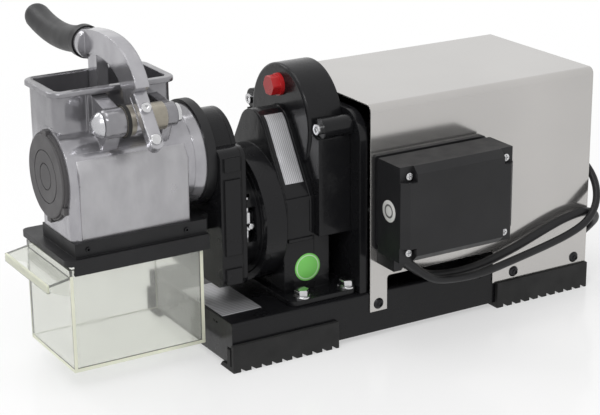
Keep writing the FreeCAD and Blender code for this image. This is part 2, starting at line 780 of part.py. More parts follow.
def end_cap():
    disc = rod_x(cap_face, cap_face + cap_plate, 0, drum_z, cap_r)
    disc = disc.makeFillet(1.2, [e for e in disc.Edges if e.Curve.TypeId == "Part::GeomCircle"
                                 and abs(e.CenterOfMass.x - cap_face) < 0.1])
    flange = rod_x(cap_face + 2, head_left - seat_gap, 0, drum_z, cap_r + 1.6)
    spigot = rod_x(head_left - seat_gap, head_left + cap_spigot, 0, drum_z, head_bore_r - 0.1)
    spigot = spigot.cut(rod_x(head_left + 2, head_left + cap_spigot + 1, 0, drum_z, head_bore_r - 3))
    hub = rod_x(head_left, head_left + cap_spigot - 0.8, 0, drum_z, drum_journal_r + 6)
    cap = fuse(disc, flange, spigot, hub)
    for r in (cap_r * 0.30, cap_r * 0.62):
        cap = cap.cut(tube_x(cap_face - 1, cap_face + 0.8, 0, drum_z, r + 1.0, r))
    tab_end = head_left - seat_gap
    tabs = [box(cap_face + 1, tab_end, -3.5, 3.5, drum_z + cap_r - 1, drum_z + cap_r + 4),
            box(cap_face + 1, tab_end, -3.5, 3.5, drum_z - cap_r - 4, drum_z - cap_r + 1),
            box(cap_face + 1, tab_end, -cap_r * 0.83 - 4, -cap_r * 0.83 + 3,
                drum_z - cap_r * 0.62 - 3, drum_z - cap_r * 0.62 + 3)]
    cap = fuse(cap, *tabs)
    return cap.cut(rod_x(head_left - 3.5, head_left + cap_spigot, 0, drum_z, drum_journal_r + 3 + seat_gap))


def end_bush():
    return tube_x(head_left - 3.5, drum_left - 1.5, 0, drum_z, drum_journal_r + 3,
                  drum_journal_r + run_gap)


def drum_shell():
    """Rolled sheet drum with raised grating teeth in staggered rows."""
    shell = tube_x(drum_left, drum_right, 0, drum_z, drum_r, drum_r - drum_wall)
    pitch = (drum_right - drum_left - 12) / drum_per_row
    teeth, holes = [], []
    for row in range(drum_rows):
        a = 2 * math.pi * row / drum_rows
        for k in range(drum_per_row):
            x = drum_left + 6 + pitch * (k + (0.25 if row % 2 else 0.75))
            out = V(0, math.cos(a), math.sin(a))
            side = V(0, -math.sin(a), math.cos(a))
            centre = V(x, 0, drum_z) + out * (drum_r - 0.4)
            corners = [centre + X * 2.0, centre - X * 2.0, centre + side * 2.6]
            tip = V(x, 0, drum_z) + out * (drum_r + drum_tooth)
            faces = [Part.Face(Part.makePolygon([corners[i], corners[(i + 1) % 3], tip, corners[i]]))
                     for i in range(3)]
            faces.append(Part.Face(Part.makePolygon(corners + corners[:1])))
            teeth.append(Part.Solid(Part.Shell(faces)))
            hole_at = centre - side * 1.6
            holes.append(Part.makeCylinder(1.3, 5, hole_at - out * 3, out))
    shell = shell.cut(Part.makeCompound(holes))
    return shell.multiFuse(teeth)


def drum_ends():
    ends = []
    for x in (drum_left + 0.5, drum_right - 4.5):
        disc = rod_x(x, x + 4, 0, drum_z, drum_r - drum_wall - seat_gap)
        ends.append(disc.cut(rod_x(x - 1, x + 5, 0, drum_z, drum_shaft_r + seat_gap)))
    return Part.makeCompound(ends)


def drum_shaft():
    journal = rod_x(head_left - 3.0, drum_left - 1, 0, drum_z, drum_journal_r)
    main = rod_x(drum_left - 1, step_right + 1.5, 0, drum_z, drum_shaft_r)
    return fuse(journal, main)


# Lever

def lever_arm():
    """Cast arm: hub on the pin, curved beam over the hopper, socket for the grip, stem."""
    x0, x1 = lever_x - lever_width / 2, lever_x + lever_width / 2
    outer = [V(x0, pivot_y - hub_lever_r, pivot_z + 1), V(x0, pivot_y - 11, pivot_z + 32),
             V(x0, pivot_y + 4, pivot_z + 49), V(x0, pivot_y + 47, pivot_z + 61),
             V(x0, socket_y, socket_z + 12)]
    inner = [V(x0, socket_y, socket_z - 12), V(x0, pivot_y + 66, pivot_z + 40.5),
             V(x0, pivot_y + 40, pivot_z + 38), V(x0, pivot_y + 20, pivot_z + 28),
             V(x0, pivot_y + hub_lever_r - 0.5, pivot_z + 2)]
    top, under = Part.BSplineCurve(), Part.BSplineCurve()
    top.interpolate(outer)
    under.interpolate(inner)
    edges = [top.toShape(), Part.LineSegment(outer[-1], inner[0]).toShape(), under.toShape(),
             Part.LineSegment(inner[-1], outer[0]).toShape()]
    beam = Part.Face(Part.Wire(edges)).extrude(V(lever_width, 0, 0))
    hub = rod_x(x0, x1, pivot_y, pivot_z, hub_lever_r)
    stem = prism_x([(stem_y - 9, pivot_z + 42), (stem_y + 9, pivot_z + 44), (stem_y + 8, plate_z),
                    (stem_y - 8, plate_z)], lever_x - 5, lever_x + 5)
    socket = rod_y(socket_y - 8, socket_y + 1, lever_x, socket_z, grip_r + 1.2)
    arm = fuse(beam, hub, stem, socket).cut(stop_blank(bar_long + 2, lever_width, 30.0))
    return arm.cut(rod_x(x0 - 1, x1 + 1, pivot_y, pivot_z, pin_r + run_gap))


socket_y = 48.6
socket_z = 266.5
stem_y = 29.5
plate_z = 213.0


def grip_collar():
    return rod_y(socket_y + 1.1, socket_y + 9, lever_x, socket_z, grip_r + 2.6)


def lever_grip():
    """Moulded rubber grip: two tangent arcs that dip and rise again, and a rounded tip."""
    start = V(lever_x, socket_y + 9.1, socket_z)
    down = math.acos(1 - grip_dip / (grip_bend_near + grip_bend_far))
    low = (grip_bend_near + grip_bend_far) * math.sin(down)
    up = math.asin((grip_reach - low) / grip_bend_far)

    def above(angle):
        return start + V(0, math.sin(angle), math.cos(angle) - 1) * grip_bend_near

    def below(angle):
        return start + V(0, low, grip_bend_far - grip_dip) + V(0, math.sin(angle), -math.cos(angle)) * grip_bend_far

    arcs = [Part.Arc(start, above(down / 2), above(down)),
            Part.Arc(above(down), below((up - down) / 2), below(up))]
    path = Part.Wire([arc.toShape() for arc in arcs])
    ring = Part.Wire([Part.Circle(start, Y, grip_r).toShape()])
    grip = path.makePipeShell([ring], True, True)
    tip = Part.makeSphere(grip_r * 0.98, below(up))
    return fuse(grip, tip)


def presser_plate():
    """Plate in the hopper, hollow below so that it stays just off the drum."""
    plate = box(hopper_left + hopper_wall + presser_side, hopper_right - hopper_wall - presser_side,
                presser_near, presser_far, drum_z + 10, plate_z)
    hollow = rod_x(hopper_left, hopper_right, 0, drum_z, drum_r + drum_tooth + presser_gap)
    plate = plate.cut(hollow)
    over = rod_x(hopper_left, hopper_right, 0, drum_z, drum_r + drum_tooth + presser_gap + presser_thick)
    top = box(hopper_left, hopper_right, presser_near, presser_far, plate_z - 5, plate_z)
    return fuse(plate.common(over), top.common(box(lever_x - 14, lever_x + 14, stem_y - 15, stem_y + 4,
                                                   plate_z - 6, plate_z - seat_gap)).cut(hollow))


presser_near = -5.0
presser_far = 33.0


def stop_blank(long, wide, thick):
    """Straight bar that lies against the hub, leaning down and away from the head."""
    way = V(0, -math.cos(math.radians(bar_lean)), -math.sin(math.radians(bar_lean)))
    out = V(0, -math.sin(math.radians(bar_lean)), math.cos(math.radians(bar_lean)))
    middle = V(lever_x, pivot_y, pivot_z) + out * (hub_lever_r + seat_gap)
    start = middle - way * bar_above
    corners = [start + X * (wide / 2 + 0.1), start + X * (wide / 2 + 0.1) + way * long,
               start - X * (wide / 2 + 0.1) + way * long, start - X * (wide / 2 + 0.1)]
    return Part.Face(Part.makePolygon(corners + corners[:1])).extrude(out * thick)


def stop_bar():
    """Bar screwed against the lever's hub; it meets the head's wall when the lever is up."""
    bar = stop_blank(bar_long, bar_wide, bar_thick)
    long_edges = [e for e in bar.Edges if abs(e.Length - bar_thick) < 1e-6]
    bar = bar.makeFillet(bar_wide * 0.45, sorted(long_edges, key=lambda e: e.CenterOfMass.z)[:2])
    return bar


bar_lean = 52.0
bar_above = 15.0
bar_long = 50.0
bar_wide = 11.0
bar_thick = 8.0


def pivot_pin():
    shank = rod_x(boss_left + 3.2, lug_right + 4, pivot_y, pivot_z, pin_r)
    head = rod_x(lug_right, lug_right + 4, pivot_y, pivot_z, pin_r + 3)
    return fuse(shank, head)


def pivot_bushes():
    """Bronze spacers either side of the lever's hub."""
    x0, x1 = lever_x - lever_width / 2, lever_x + lever_width / 2
    left = tube_x(boss_right + 3.4, x0 - 0.1, pivot_y, pivot_z, boss_r + 0.5, pin_r + seat_gap)
    right = tube_x(x1 + 0.1, lug_left - 0.1, pivot_y, pivot_z, boss_r - 0.5, pin_r + seat_gap)
    return Part.makeCompound([left, right])


def pivot_washer():
    return tube_x(boss_right + 0.1, boss_right + 3.2, pivot_y, pivot_z, boss_r + 0.8, pin_r + seat_gap)


# Drawer and its guide

def drawer_guide():
    plate = box(guide_left, guide_right, -guide_half, guide_half, guide_step - 5, guide_step)
    plate = rounded(plate, 7.0, Z, lambda c: c.x < guide_left + 1)
    upper = box(block_left_guide, guide_right, block_near_guide, block_far_guide, guide_step, chute_floor)
    skirts = []
    for side in (-1, 1):
        outer, inner = side * guide_half, side * (guide_half - guide_skirt)
        skirts.append(box(guide_left + 7, guide_right, min(outer, inner), max(outer, inner),
                          guide_bottom, guide_step))
        lip_in = side * (guide_half - guide_lip_in)
        skirts.append(box(guide_left + 7, guide_right, min(outer, lip_in), max(outer, lip_in),
                          guide_bottom, guide_bottom + guide_lip))
    body = fuse(plate, upper, *skirts)
    mouth = box(head_left + chute_wall + 1, chute_right - chute_wall - 1, chute_near + chute_wall + 1,
                chute_far - chute_wall - 1, guide_step - 6, chute_floor + 1)
    body = body.cut(mouth)
    for x in guide_screw_x:
        body = body.cut(rod_y(block_near_guide - 1, block_near_guide + 9, x, guide_screw_z, 2.0 + seat_gap))
    bracket = box(guide_right - 1, adapter_left, -25, 25, guide_step - 5, guide_step + 9)
    return fuse(body, bracket)


def guide_screws():
    """Two set screws in the near wall of the guide's upper block."""
    screws = []
    for x in guide_screw_x:
        screw = rod_y(block_near_guide - 1.2, block_near_guide + 5, x, guide_screw_z, 2.0)
        screws.append(screw.cut(hexagon_y(block_near_guide - 2, block_near_guide + 1, x, guide_screw_z, 2.0)))
    return Part.makeCompound(screws)


guide_screw_x = (-247.0, -158.0)
guide_screw_z = (guide_step + chute_floor) / 2


def drawer_cup():
    outer = box(drawer_left, drawer_right, -drawer_half, drawer_half, drawer_bottom, drawer_rim)
    inner = box(drawer_left + drawer_wall, drawer_right - drawer_wall, -drawer_half + drawer_wall,
                drawer_half - drawer_wall, drawer_bottom + drawer_wall, drawer_rim + 1)
    cup = outer.cut(inner)
    flanges = []
    for side in (-1, 1):
        y0, y1 = side * (drawer_half - 1), side * (drawer_half + drawer_flange_out)
        flanges.append(box(drawer_left + 4, drawer_right, min(y0, y1), max(y0, y1),
                           drawer_rim - drawer_flange, drawer_rim))
    return fuse(cup, *flanges)


drawer_rim = guide_bottom + guide_lip + slide_gap + drawer_flange


def drawer_handle():
    """Bent acrylic strip with two gussets, glued to the front wall of the drawer."""
    face = drawer_left - seat_gap
    tip = drawer_left - handle_reach
    tip_top = handle_root - handle_drop
    tip_low = tip_top - handle_turn_down
    top = [(face, handle_root), (face, handle_root - drawer_wall), (tip + 2, tip_top - 2.5),
           (tip + 2.5, tip_low), (tip, tip_low), (tip, tip_top)]
    strip = prism_y(top, -drawer_half, drawer_half)
    gusset = [(face, handle_root - 1), (face, handle_root - 17), (tip + 2.5, tip_low + 1),
              (tip + 1, tip_top - 1)]
    sides = [prism_y(gusset, -drawer_half, -drawer_half + 2), prism_y(gusset, drawer_half - 2, drawer_half)]
    return fuse(strip, *sides)


handle_root = drawer_rim - 5.0


# Motor

def motor_flange():
    """Front end shield: square plate on the gear case with the bell that carries the stator."""
    plate = box(motor_flange_left, motor_flange_right, -motor_flange_half, motor_flange_half,
                base_top, motor_flange_top)
    plate = rounded(plate, motor_flange_corner, X, lambda c: c.z > motor_flange_top - 1)
    bell = tube_x(motor_flange_right, stator_left + 6, 0, motor_z, stator_r + 4 + seat_gap,
                  stator_r + seat_gap)
    hub = rod_x(motor_flange_right, motor_flange_right + bearing_wide + 2, 0, motor_z, bearing_out_r + 5)
    body = fuse(plate, bell, hub)
    body = body.cut(rod_x(motor_flange_left - 1, motor_flange_right + 20, 0, motor_z, shaft_r + 2))
    body = body.cut(rod_x(motor_flange_right + 2, motor_flange_right + 20, 0, motor_z,
                          bearing_out_r + seat_gap))
    for side in (-1, 1):
        body = body.cut(rod_x(motor_flange_left - 1, motor_flange_right + 1, side * lug_y, lug_z,
                              2.8 + seat_gap))
    return body


def rear_bell():
    cup = tube_x(stator_right - 6, rear_bell_right, 0, motor_z, stator_r + 4 + seat_gap, stator_r + seat_gap)
    end = rod_x(rear_bell_right - bell_wall, rear_bell_right, 0, motor_z, stator_r + 3)
    hub = rod_x(rear_bell_right - bearing_wide - 3, rear_bell_right, 0, motor_z, bearing_out_r + 5)
    body = fuse(cup, end, hub)
    for k in range(8):
        a = math.radians(45 * k)
        body = body.cut(rod_x(rear_bell_right - 10, rear_bell_right + 1, vent_ring * math.cos(a),
                              motor_z + vent_ring * math.sin(a), 7.0))
    body = body.cut(rod_x(rear_bell_right - bearing_wide - 4, rear_bell_right - 2, 0, motor_z,
                          bearing_out_r + seat_gap))
    return body.cut(rod_x(rear_bell_right - 5, rear_bell_right + 1, 0, motor_z, shaft_r + 2))


def stator_core():
    core = tube_x(stator_left, stator_right, 0, motor_z, stator_r, stator_bore)
    slots = [box(stator_left - 1, stator_right + 1, -1.5, 1.5, motor_z + stator_bore - 1,
                 motor_z + winding_r - 5) for k in range(12)]
    for k, slot in enumerate(slots):
        slot.rotate(V(0, 0, motor_z), X, 30 * k + 15)
    return core.cut(Part.makeCompound(slots))


def stator_windings():
    rings = []
    for x0, x1 in ((stator_left - winding_reach, stator_left - seat_gap),
                   (stator_right + seat_gap, stator_right + winding_reach)):
        ring = tube_x(x0, x1, 0, motor_z, winding_r, stator_bore + 3)
        rings.append(ring.makeFillet(3.0, [e for e in ring.Edges if e.Curve.TypeId == "Part::GeomCircle"]))
    return Part.makeCompound(rings)


def rotor_core():
    return tube_x(stator_left, stator_right, 0, motor_z, stator_bore - free_gap, shaft_r + 2 + seat_gap)


def motor_shaft():
    thick = rod_x(motor_flange_right + 14, rear_bell_right - bearing_wide - 3, 0, motor_z, shaft_r + 2)
    thin = rod_x(motor_flange_left + 0.5, motor_tail, 0, motor_z, shaft_r)
    nose = rod_x(fast_left - 1, motor_flange_left + 0.5, 0, motor_z, nose_r)
    return fuse(thick, thin, nose)


nose_r = 5.0


def motor_pinion():
    return gear(fast_left - 1, fast_right + 1, motor_z, motor_teeth, module_fast, nose_r + seat_gap, 0.0)


def motor_bearings():
    return Part.makeCompound([
        ball_bearing(motor_flange_right + 2.1, bearing_wide, motor_z, bearing_out_r, shaft_r + run_gap),
        ball_bearing(rear_bell_right - bearing_wide - 2.1, bearing_wide, motor_z, bearing_out_r,
                     shaft_r + run_gap)])


def cooling_fan():
    hub = rod_x(fan_left, fan_right, 0, motor_z, fan_hub_r)
    disc = rod_x(fan_left, fan_left + 2, 0, motor_z, fan_r - 4)
    blades = []
    for k in range(fan_blades):
        blade = box(fan_left + 1, fan_right, -fan_blade / 2, fan_blade / 2,
                    motor_z + fan_hub_r - 1, motor_z + fan_r)
        blade.rotate(V(0, 0, motor_z), X, 360.0 * k / fan_blades)
        blades.append(blade)
    fan = fuse(hub, disc, *blades)
    return fan.cut(rod_x(fan_left - 1, fan_right + 1, 0, motor_z, shaft_r + seat_gap))


def motor_cradle():
    saddle = box(stator_left + 14, stator_right - 14, -cradle_half, cradle_half, base_top, cradle_top)
    saddle = saddle.cut(rod_x(stator_left, stator_right, 0, motor_z, stator_r + seat_gap))
    saddle = saddle.cut(box(stator_left, stator_right, -cradle_hollow_half, cradle_hollow_half, base_top + 4,
                            motor_z - stator_r - 2))
    feet_strip = box(stator_left + 14, stator_right - 14, -cradle_foot_half, cradle_foot_half, base_top,
                     base_top + 4)
    return fuse(saddle, feet_strip)


# Junction box

box_back = -cover_half - 0.2
box_front = box_back - box_deep
lid_front = box_front
gland_way = V(math.cos(math.radians(gland_tilt)), 0, -math.sin(math.radians(gland_tilt)))
outlet_x, outlet_z = 20.0, 77.0
mains_y = -cover_half - 4.4 - cord_d / 2
lead_y = mains_y - (cord_d + lead_d) / 2 - 3.0


def slant(z):
    """X of the outlet's slanted face at a height."""
    return outlet_x + (z - outlet_z) * math.tan(math.radians(gland_tilt))


def box_posts():
    """Places of the four lid screws, each in the middle of its corner pocket."""
    return [(x, z) for x in (box_left + box_wall + 3.6, box_right - box_wall - 3.6)
            for z in (box_bottom + box_wall + 3.6, box_top - box_wall - 3.6)]


lid_left, lid_right = box_left - lid_over, box_right + lid_over
lid_bottom, lid_top = box_bottom - lid_over, box_top + lid_over
lid_back = box_front + lid_deep
screw_floor = box_front + pocket_deep
screw_r = 1.5


def box_body():
    """Shallow tray on the cover, with the cords' slanted outlet under it."""
    front = lid_back + seat_gap
    tray = rounded(box(box_left, box_right, front, box_back, box_bottom, box_top), 5.0, Y)
    hollow = box(box_left + box_wall, box_right - box_wall, front - 1, box_back - box_wall,
                 box_bottom + box_wall, box_top - box_wall)
    tray = tray.cut(rounded(hollow, 3.0, Y))
    flange = box(lid_left, lid_right, box_back - body_flange, box_back, lid_bottom, lid_top)
    flange = rounded(flange, 3.0, Y).cut(box(box_left + 4, box_right - 4, box_back - body_flange - 1,
                                             box_back - box_wall, box_bottom + 4, box_top - 4))
    posts = [rod_y(front, box_back - 1, x, z, 4.5) for x, z in box_posts()]
    under = lid_bottom - slide_gap
    outlet = prism_y([(box_left + 3, under), (box_left + 3, outlet_low), (slant(outlet_low), outlet_low),
                      (slant(under), under)], lead_y - 8, box_back)
    root = box(box_left + 3, slant(under), front, box_back, under - 2, box_bottom + 1)
    body = fuse(tray, flange, outlet, root, *posts)
    for x, z in box_posts():
        body = body.cut(rod_y(front - 1, lid_back + 7, x, z, screw_r + seat_gap))
    return body


outlet_low = 70.0
switch_y = box_front + lid_deep / 2 + 2


def box_lid():
    """Deep lid: bevelled all round its face, with a sunk pocket for a screw in each corner."""
    outer = box(lid_left, lid_right, box_front, lid_back, lid_bottom, lid_top)
    outer = outer.makeChamfer(lid_bevel, [e for e in outer.Edges
                                          if abs(e.CenterOfMass.y - box_front) < 1e-6])
    hollow = box(lid_left + box_wall, lid_right - box_wall, box_front + box_wall, lid_back + 1,
                 lid_bottom + box_wall, lid_top - box_wall)
    hollow = hollow.makeChamfer(lid_bevel - 1.5, [e for e in hollow.Edges
                                                  if abs(e.CenterOfMass.y - box_front - box_wall) < 1e-6])
    corners, pockets, posts = [], [], []
    for x, z in box_posts():
        x0, x1 = (lid_left - 1, lid_left + pocket_wide) if x < box_left + 20 else \
                 (lid_right - pocket_wide, lid_right + 1)
        z0, z1 = (lid_bottom - 1, lid_bottom + pocket_wide) if z < box_bottom + 20 else \
                 (lid_top - pocket_wide, lid_top + 1)
        pockets.append(box(x0, x1, box_front - 1, screw_floor, z0, z1))
        corners.append(box(x0 - box_wall, x1 + box_wall, box_front, screw_floor + box_wall,
                           z0 - box_wall, z1 + box_wall).common(outer))
        posts.append(rod_y(screw_floor + 1, lid_back, x, z, 4.5))
    lid = fuse(outer.cut(hollow), *corners, *posts)
    for pocket, (x, z) in zip(pockets, box_posts()):
        lid = lid.cut(pocket).cut(rod_y(screw_floor - 1, lid_back + 1, x, z, screw_r + 0.4))
    return lid.cut(box(lid_right - box_wall - 1, lid_right + 1, switch_y - switch_wide / 2,
                       switch_y + switch_wide / 2, switch_z - switch_high / 2, switch_z + switch_high / 2))


def box_screws():
    screws = []
    for x, z in box_posts():
        head = rod_y(screw_floor - 2.2, screw_floor, x, z, lid_screw_r)
        cross = [box(x - 0.5, x + 0.5, screw_floor - 3, screw_floor - 1.2, z - 2.2, z + 2.2),
                 box(x - 2.2, x + 2.2, screw_floor - 3, screw_floor - 1.2, z - 0.5, z + 0.5)]
        screws.append(fuse(head.cut(cross[0]).cut(cross[1]), rod_y(screw_floor, lid_back + 6, x, z, screw_r)))
    return Part.makeCompound(screws)


capacitor_r = 16.5
capacitor_long = 68.0
capacitor_left = box_left + 16


def capacitor():
    """Running capacitor, clipped against the back of the box."""
    y = box_back - box_wall - capacitor_r - seat_gap
    z = box_bottom + box_wall + capacitor_r + slide_gap
    end = capacitor_left + capacitor_long
    can = rod_x(capacitor_left, end, y, z, capacitor_r)
    tabs = [box(end, end + 8, y + side * 4.5 - 1.5, y + side * 4.5 + 1.5, z - 2, z + 2) for side in (-1, 1)]
    return fuse(can.makeFillet(1.5, [e for e in can.Edges if e.Curve.TypeId == "Part::GeomCircle"]), *tabs)


rocker_axle_x = lid_right - 5.0
rocker_axle_r = 1.8
rocker_tilt = 8.0       # degrees either side of upright


def switch_frame():
    y0, y1 = switch_y - switch_wide / 2 + 0.1, switch_y + switch_wide / 2 - 0.1
    z0, z1 = switch_z - switch_high / 2 + 0.1, switch_z + switch_high / 2 - 0.1
    flange = box(lid_right + seat_gap, lid_right + 2, y0 - 2, y1 + 2, z0 - 2, z1 + 2)
    sleeve = box(lid_right - 16, lid_right + seat_gap, y0, y1, z0, z1)
    body = fuse(rounded(flange, 2.0, X), sleeve)
    body = body.cut(box(lid_right - 10, lid_right + 3, y0 + 2, y1 - 2, z0 + 2, z1 - 2))
    return body.cut(rod_y(y0 + 0.5, y1 - 0.5, rocker_axle_x, switch_z, rocker_axle_r + run_gap))


def switch_rocker():
    """Rocker on its crosswise axle, at rest in its off position with its upper end out."""
    wide = switch_wide / 2 - 2.5
    outline = [(-2.5, -7), (1.0, -10.9), (7.2, -10.4), (4.6, 0), (7.2, 10.4), (1.0, 10.9), (-2.5, 7)]
    key = prism_y([(rocker_axle_x + out, switch_z + up) for out, up in outline],
                  switch_y - wide, switch_y + wide)
    axle = rod_y(switch_y - switch_wide / 2 + 0.8, switch_y + switch_wide / 2 - 0.8, rocker_axle_x,
                 switch_z, rocker_axle_r)
    rocker = fuse(key, axle)
    rocker.rotate(V(rocker_axle_x, switch_y, switch_z), Y, rocker_tilt)
    return rocker


# Leads

coil_x, coil_y = 160.0, 148.0
coil_mid_r = 44.0
coil_turns_wide, coil_turns_high = 3, 2
coil_out_r = coil_mid_r + coil_turns_wide * cord_d / 2
coil_in_r = coil_mid_r - coil_turns_wide * cord_d / 2


def gland(y, d):
    """Nut and tapered sleeve on the slanted outlet under the box."""
    foot = V(outlet_x, y, outlet_z) + gland_way * seat_gap
    nut = Part.makeCylinder(d / 2 + 1.2, 4, foot, gland_way)
    sleeve = Part.makeCone(d / 2 + 1.0, d / 2 + 0.4, gland_long - 4, foot + gland_way * 4, gland_way)
    return fuse(nut, sleeve), foot + gland_way * (gland_long + seat_gap)


def arc_path(points, label):
    """Straight runs joined by tangent arcs, as large as the two runs allow."""
    edges = []
    at = points[0]
    radii = []
    for i in range(1, len(points) - 1):
        a, b, c = points[i - 1], points[i], points[i + 1]
        u, w = b - a, c - b
        lu, lw = u.Length, w.Length
        u.normalize()
        w.normalize()
        turn = math.acos(max(-1, min(1, u.dot(w))))
        back = 0.45 * min(lu, lw)
        r = back / math.tan(turn / 2)
        radii.append(round(r, 1))
        p, q = b - u * back, b + w * back
        inward = (w - u)
        inward.normalize()
        middle = b + inward * (r / math.cos(turn / 2) - r)
        edges.append(Part.LineSegment(at, p).toShape())
        edges.append(Part.Arc(p, middle, q).toShape())
        at = q
    edges.append(Part.LineSegment(at, points[-1]).toShape())
    print(label, "arc radii", radii, "length", round(sum(e.Length for e in edges), 1))
    return Part.Wire(edges)


def cord_tube(points, d, label):
    path = arc_path(points, label)
    way = points[1] - points[0]
    ring = Part.Wire([Part.Circle(points[0], way, d / 2).toShape()])
    tube = path.makePipeShell([ring], True, True)
    print(label, "volume", round(tube.Volume), "section x length",
          round(math.pi * d * d / 4 * path.Length))
    return tube


mains_gland, mains_start = gland(mains_y, cord_d)
lead_gland, lead_start = gland(lead_y, lead_d)

mains_route = [
    mains_start, mains_start + gland_way * 13, V(64, -88.8, 48.5), V(106, -88, 47), V(150, -88, 57.5),
    V(184, -88, 69), V(209, -88.3, 76.5), V(233, -89, 79), V(252, -81.5, 67.5), V(253, -65, 50.5),
    V(252, -43, 31), V(253.5, -14, 12), V(255, 20, 4.3), V(254, 54, 4.3), V(248, 85, 4.3),
    V(233, 113, 4.3), V(214, 140, 4.3)]
lead_route = [
    lead_start, lead_start + gland_way * 13, V(62, -99, 47.5), V(104, -98.5, 44.5), V(146, -98, 51.5),
    V(180, -98, 57.5), V(208, -98, 64), V(227, -97.5, 72), V(239.5, -94, 85), V(245.5, -86, 99),
    V(247, -74, 111.5), V(243, -62, 122), V(228, lead_in_y, lead_in_z),
    V(panel_left - 4, lead_in_y, lead_in_z)]


def cord_coil():
    """Outer shape of the neat coil in which the unseen length lies."""
    ring = rod_z(0.3, coil_turns_high * cord_d, coil_x, coil_y, coil_out_r)
    return ring.cut(rod_z(-1, 30, coil_x, coil_y, coil_in_r))


def mains_cord():
    """The lead as far as the coil's outer turn, where it ends face to face."""
    return cord_tube(mains_route, cord_d, "mains").cut(rod_z(-1, 30, coil_x, coil_y, coil_out_r))


mains_plug_r = 17.5
mains_plug_x = 177.0
mains_plug_y = coil_y - 30
mains_plug_z = coil_turns_high * cord_d + mains_plug_r + 0.1


def mains_plug():
    """Round two-pin plug with earth clips, lying on the coil."""
    x, y, z = mains_plug_x, mains_plug_y, mains_plug_z
    body = rod_x(x, x + 16, y, z, mains_plug_r)
    back = Part.makeCone(cord_d, mains_plug_r, 13, V(x - 13, y, z), X)
    tail = Part.makeCone(cord_d / 2 + 1, cord_d / 2 + 2.8, 22, V(x - 35, y, z), X)
    way = V(-24, 6, -19.6)
    end = Part.makeCylinder(cord_d / 2, way.Length, V(x - 33, y, z), way)
    end = end.cut(rod_z(-1, coil_turns_high * cord_d, coil_x, coil_y, coil_out_r))
    pins = [rod_x(x + 16, x + 35, y + side * 9.5, z, 2.4) for side in (-1, 1)]
    return fuse(body, back, tail, end, *pins)


nodes = {
    "base_channel": base_channel,
    "front_feet": lambda: feet(base_left - 1.4),
    "rear_feet": lambda: feet(base_right - foot_length + 1.4),
    "motor_cover": motor_cover,
    "cover_screws": cover_screws,
    "rear_panel": rear_panel,
    "gear_case_front": gear_case_front,
    "gear_case_rear": gear_case_rear,
    "oil_plug": oil_plug,
    "case_screws": case_screws,
    "foot_bolts": foot_bolts,
    "bearings": lambda: Part.makeCompound([case_bearings(), motor_bearings()]),
    "countershaft": countershaft,
    "first_gear": first_gear,
    "output_gear": output_gear,
    "output_shaft": output_shaft,
    "step_up_gear": step_up_gear,
    "adapter_case": adapter_case,
    "adapter_plate": adapter_plate,
    "clamp_bolt": clamp_bolt,
    "spacer_ring": spacer_ring,
    "drum_bushes": lambda: Part.makeCompound([drum_bearing(), end_bush()]),
    "head_body": head_body,
    "end_cap": end_cap,
    "drum_shell": drum_shell,
    "drum_ends": drum_ends,
    "drum_shaft": drum_shaft,
    "drum_pinion": drum_pinion,
    "pivot_pin": pivot_pin,
    "pivot_bushes": lambda: Part.makeCompound([pivot_bushes(), pivot_washer()]),
    "lever_arm": lever_arm,
    "stop_bar": stop_bar,
    "grip_collar": grip_collar,
    "lever_grip": lever_grip,
    "presser_plate": presser_plate,
    "drawer_guide": drawer_guide,
    "guide_screws": guide_screws,
    "drawer_cup": drawer_cup,
    "drawer_handle": drawer_handle,
    "motor_flange": motor_flange,
    "stator_core": stator_core,
    "stator_windings": stator_windings,
    "rear_bell": rear_bell,
    "rotor_core": rotor_core,
    "motor_shaft": motor_shaft,
    "motor_pinion": motor_pinion,
    "cooling_fan": cooling_fan,
    "motor_cradle": motor_cradle,
    "box_body": box_body,
    "box_lid": box_lid,
    "box_screws": box_screws,
    "capacitor": capacitor,
    "switch_frame": switch_frame,
    "switch_rocker": switch_rocker,
    "cable_glands": lambda: Part.makeCompound([mains_gland, lead_gland]),
    "lead_grommet": lead_grommet,
    "motor_lead": lambda: cord_tube(lead_route, lead_d, "lead"),
    "mains_cord": mains_cord,
    "cord_coil": cord_coil,
    "mains_plug": mains_plug,
}

os.makedirs("parts", exist_ok=True)
for name, make in nodes.items():
    shape = make()
    shape.translate(V(step_x, step_y, 0))
    shape.exportStep("parts/" + name + ".step")
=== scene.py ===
import bpy
import json
import math
from mathutils import Matrix, Vector


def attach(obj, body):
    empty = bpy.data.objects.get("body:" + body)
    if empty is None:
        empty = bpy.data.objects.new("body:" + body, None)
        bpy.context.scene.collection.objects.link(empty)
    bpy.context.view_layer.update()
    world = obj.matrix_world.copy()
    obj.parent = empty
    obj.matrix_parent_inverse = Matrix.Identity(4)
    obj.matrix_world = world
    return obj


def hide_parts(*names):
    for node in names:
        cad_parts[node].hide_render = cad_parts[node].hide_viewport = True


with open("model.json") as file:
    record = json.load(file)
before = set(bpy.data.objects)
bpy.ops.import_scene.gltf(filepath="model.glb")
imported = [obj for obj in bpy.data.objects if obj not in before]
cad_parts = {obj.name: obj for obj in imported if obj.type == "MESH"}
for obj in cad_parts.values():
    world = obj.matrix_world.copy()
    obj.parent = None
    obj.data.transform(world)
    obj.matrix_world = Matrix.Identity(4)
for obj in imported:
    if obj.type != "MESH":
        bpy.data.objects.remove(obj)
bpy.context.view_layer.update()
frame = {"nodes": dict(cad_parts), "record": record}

nodes = frame["nodes"]
scene = bpy.context.scene

# Step from the machine's own millimetres to the scene
step = Vector((22.1, -18.3, 0.0))


def at(x, y, z):
    """A place in the machine's own millimetres, as a point of the scene in metres."""
    return (Vector((x, y, z)) + step) / 1000


# Camera

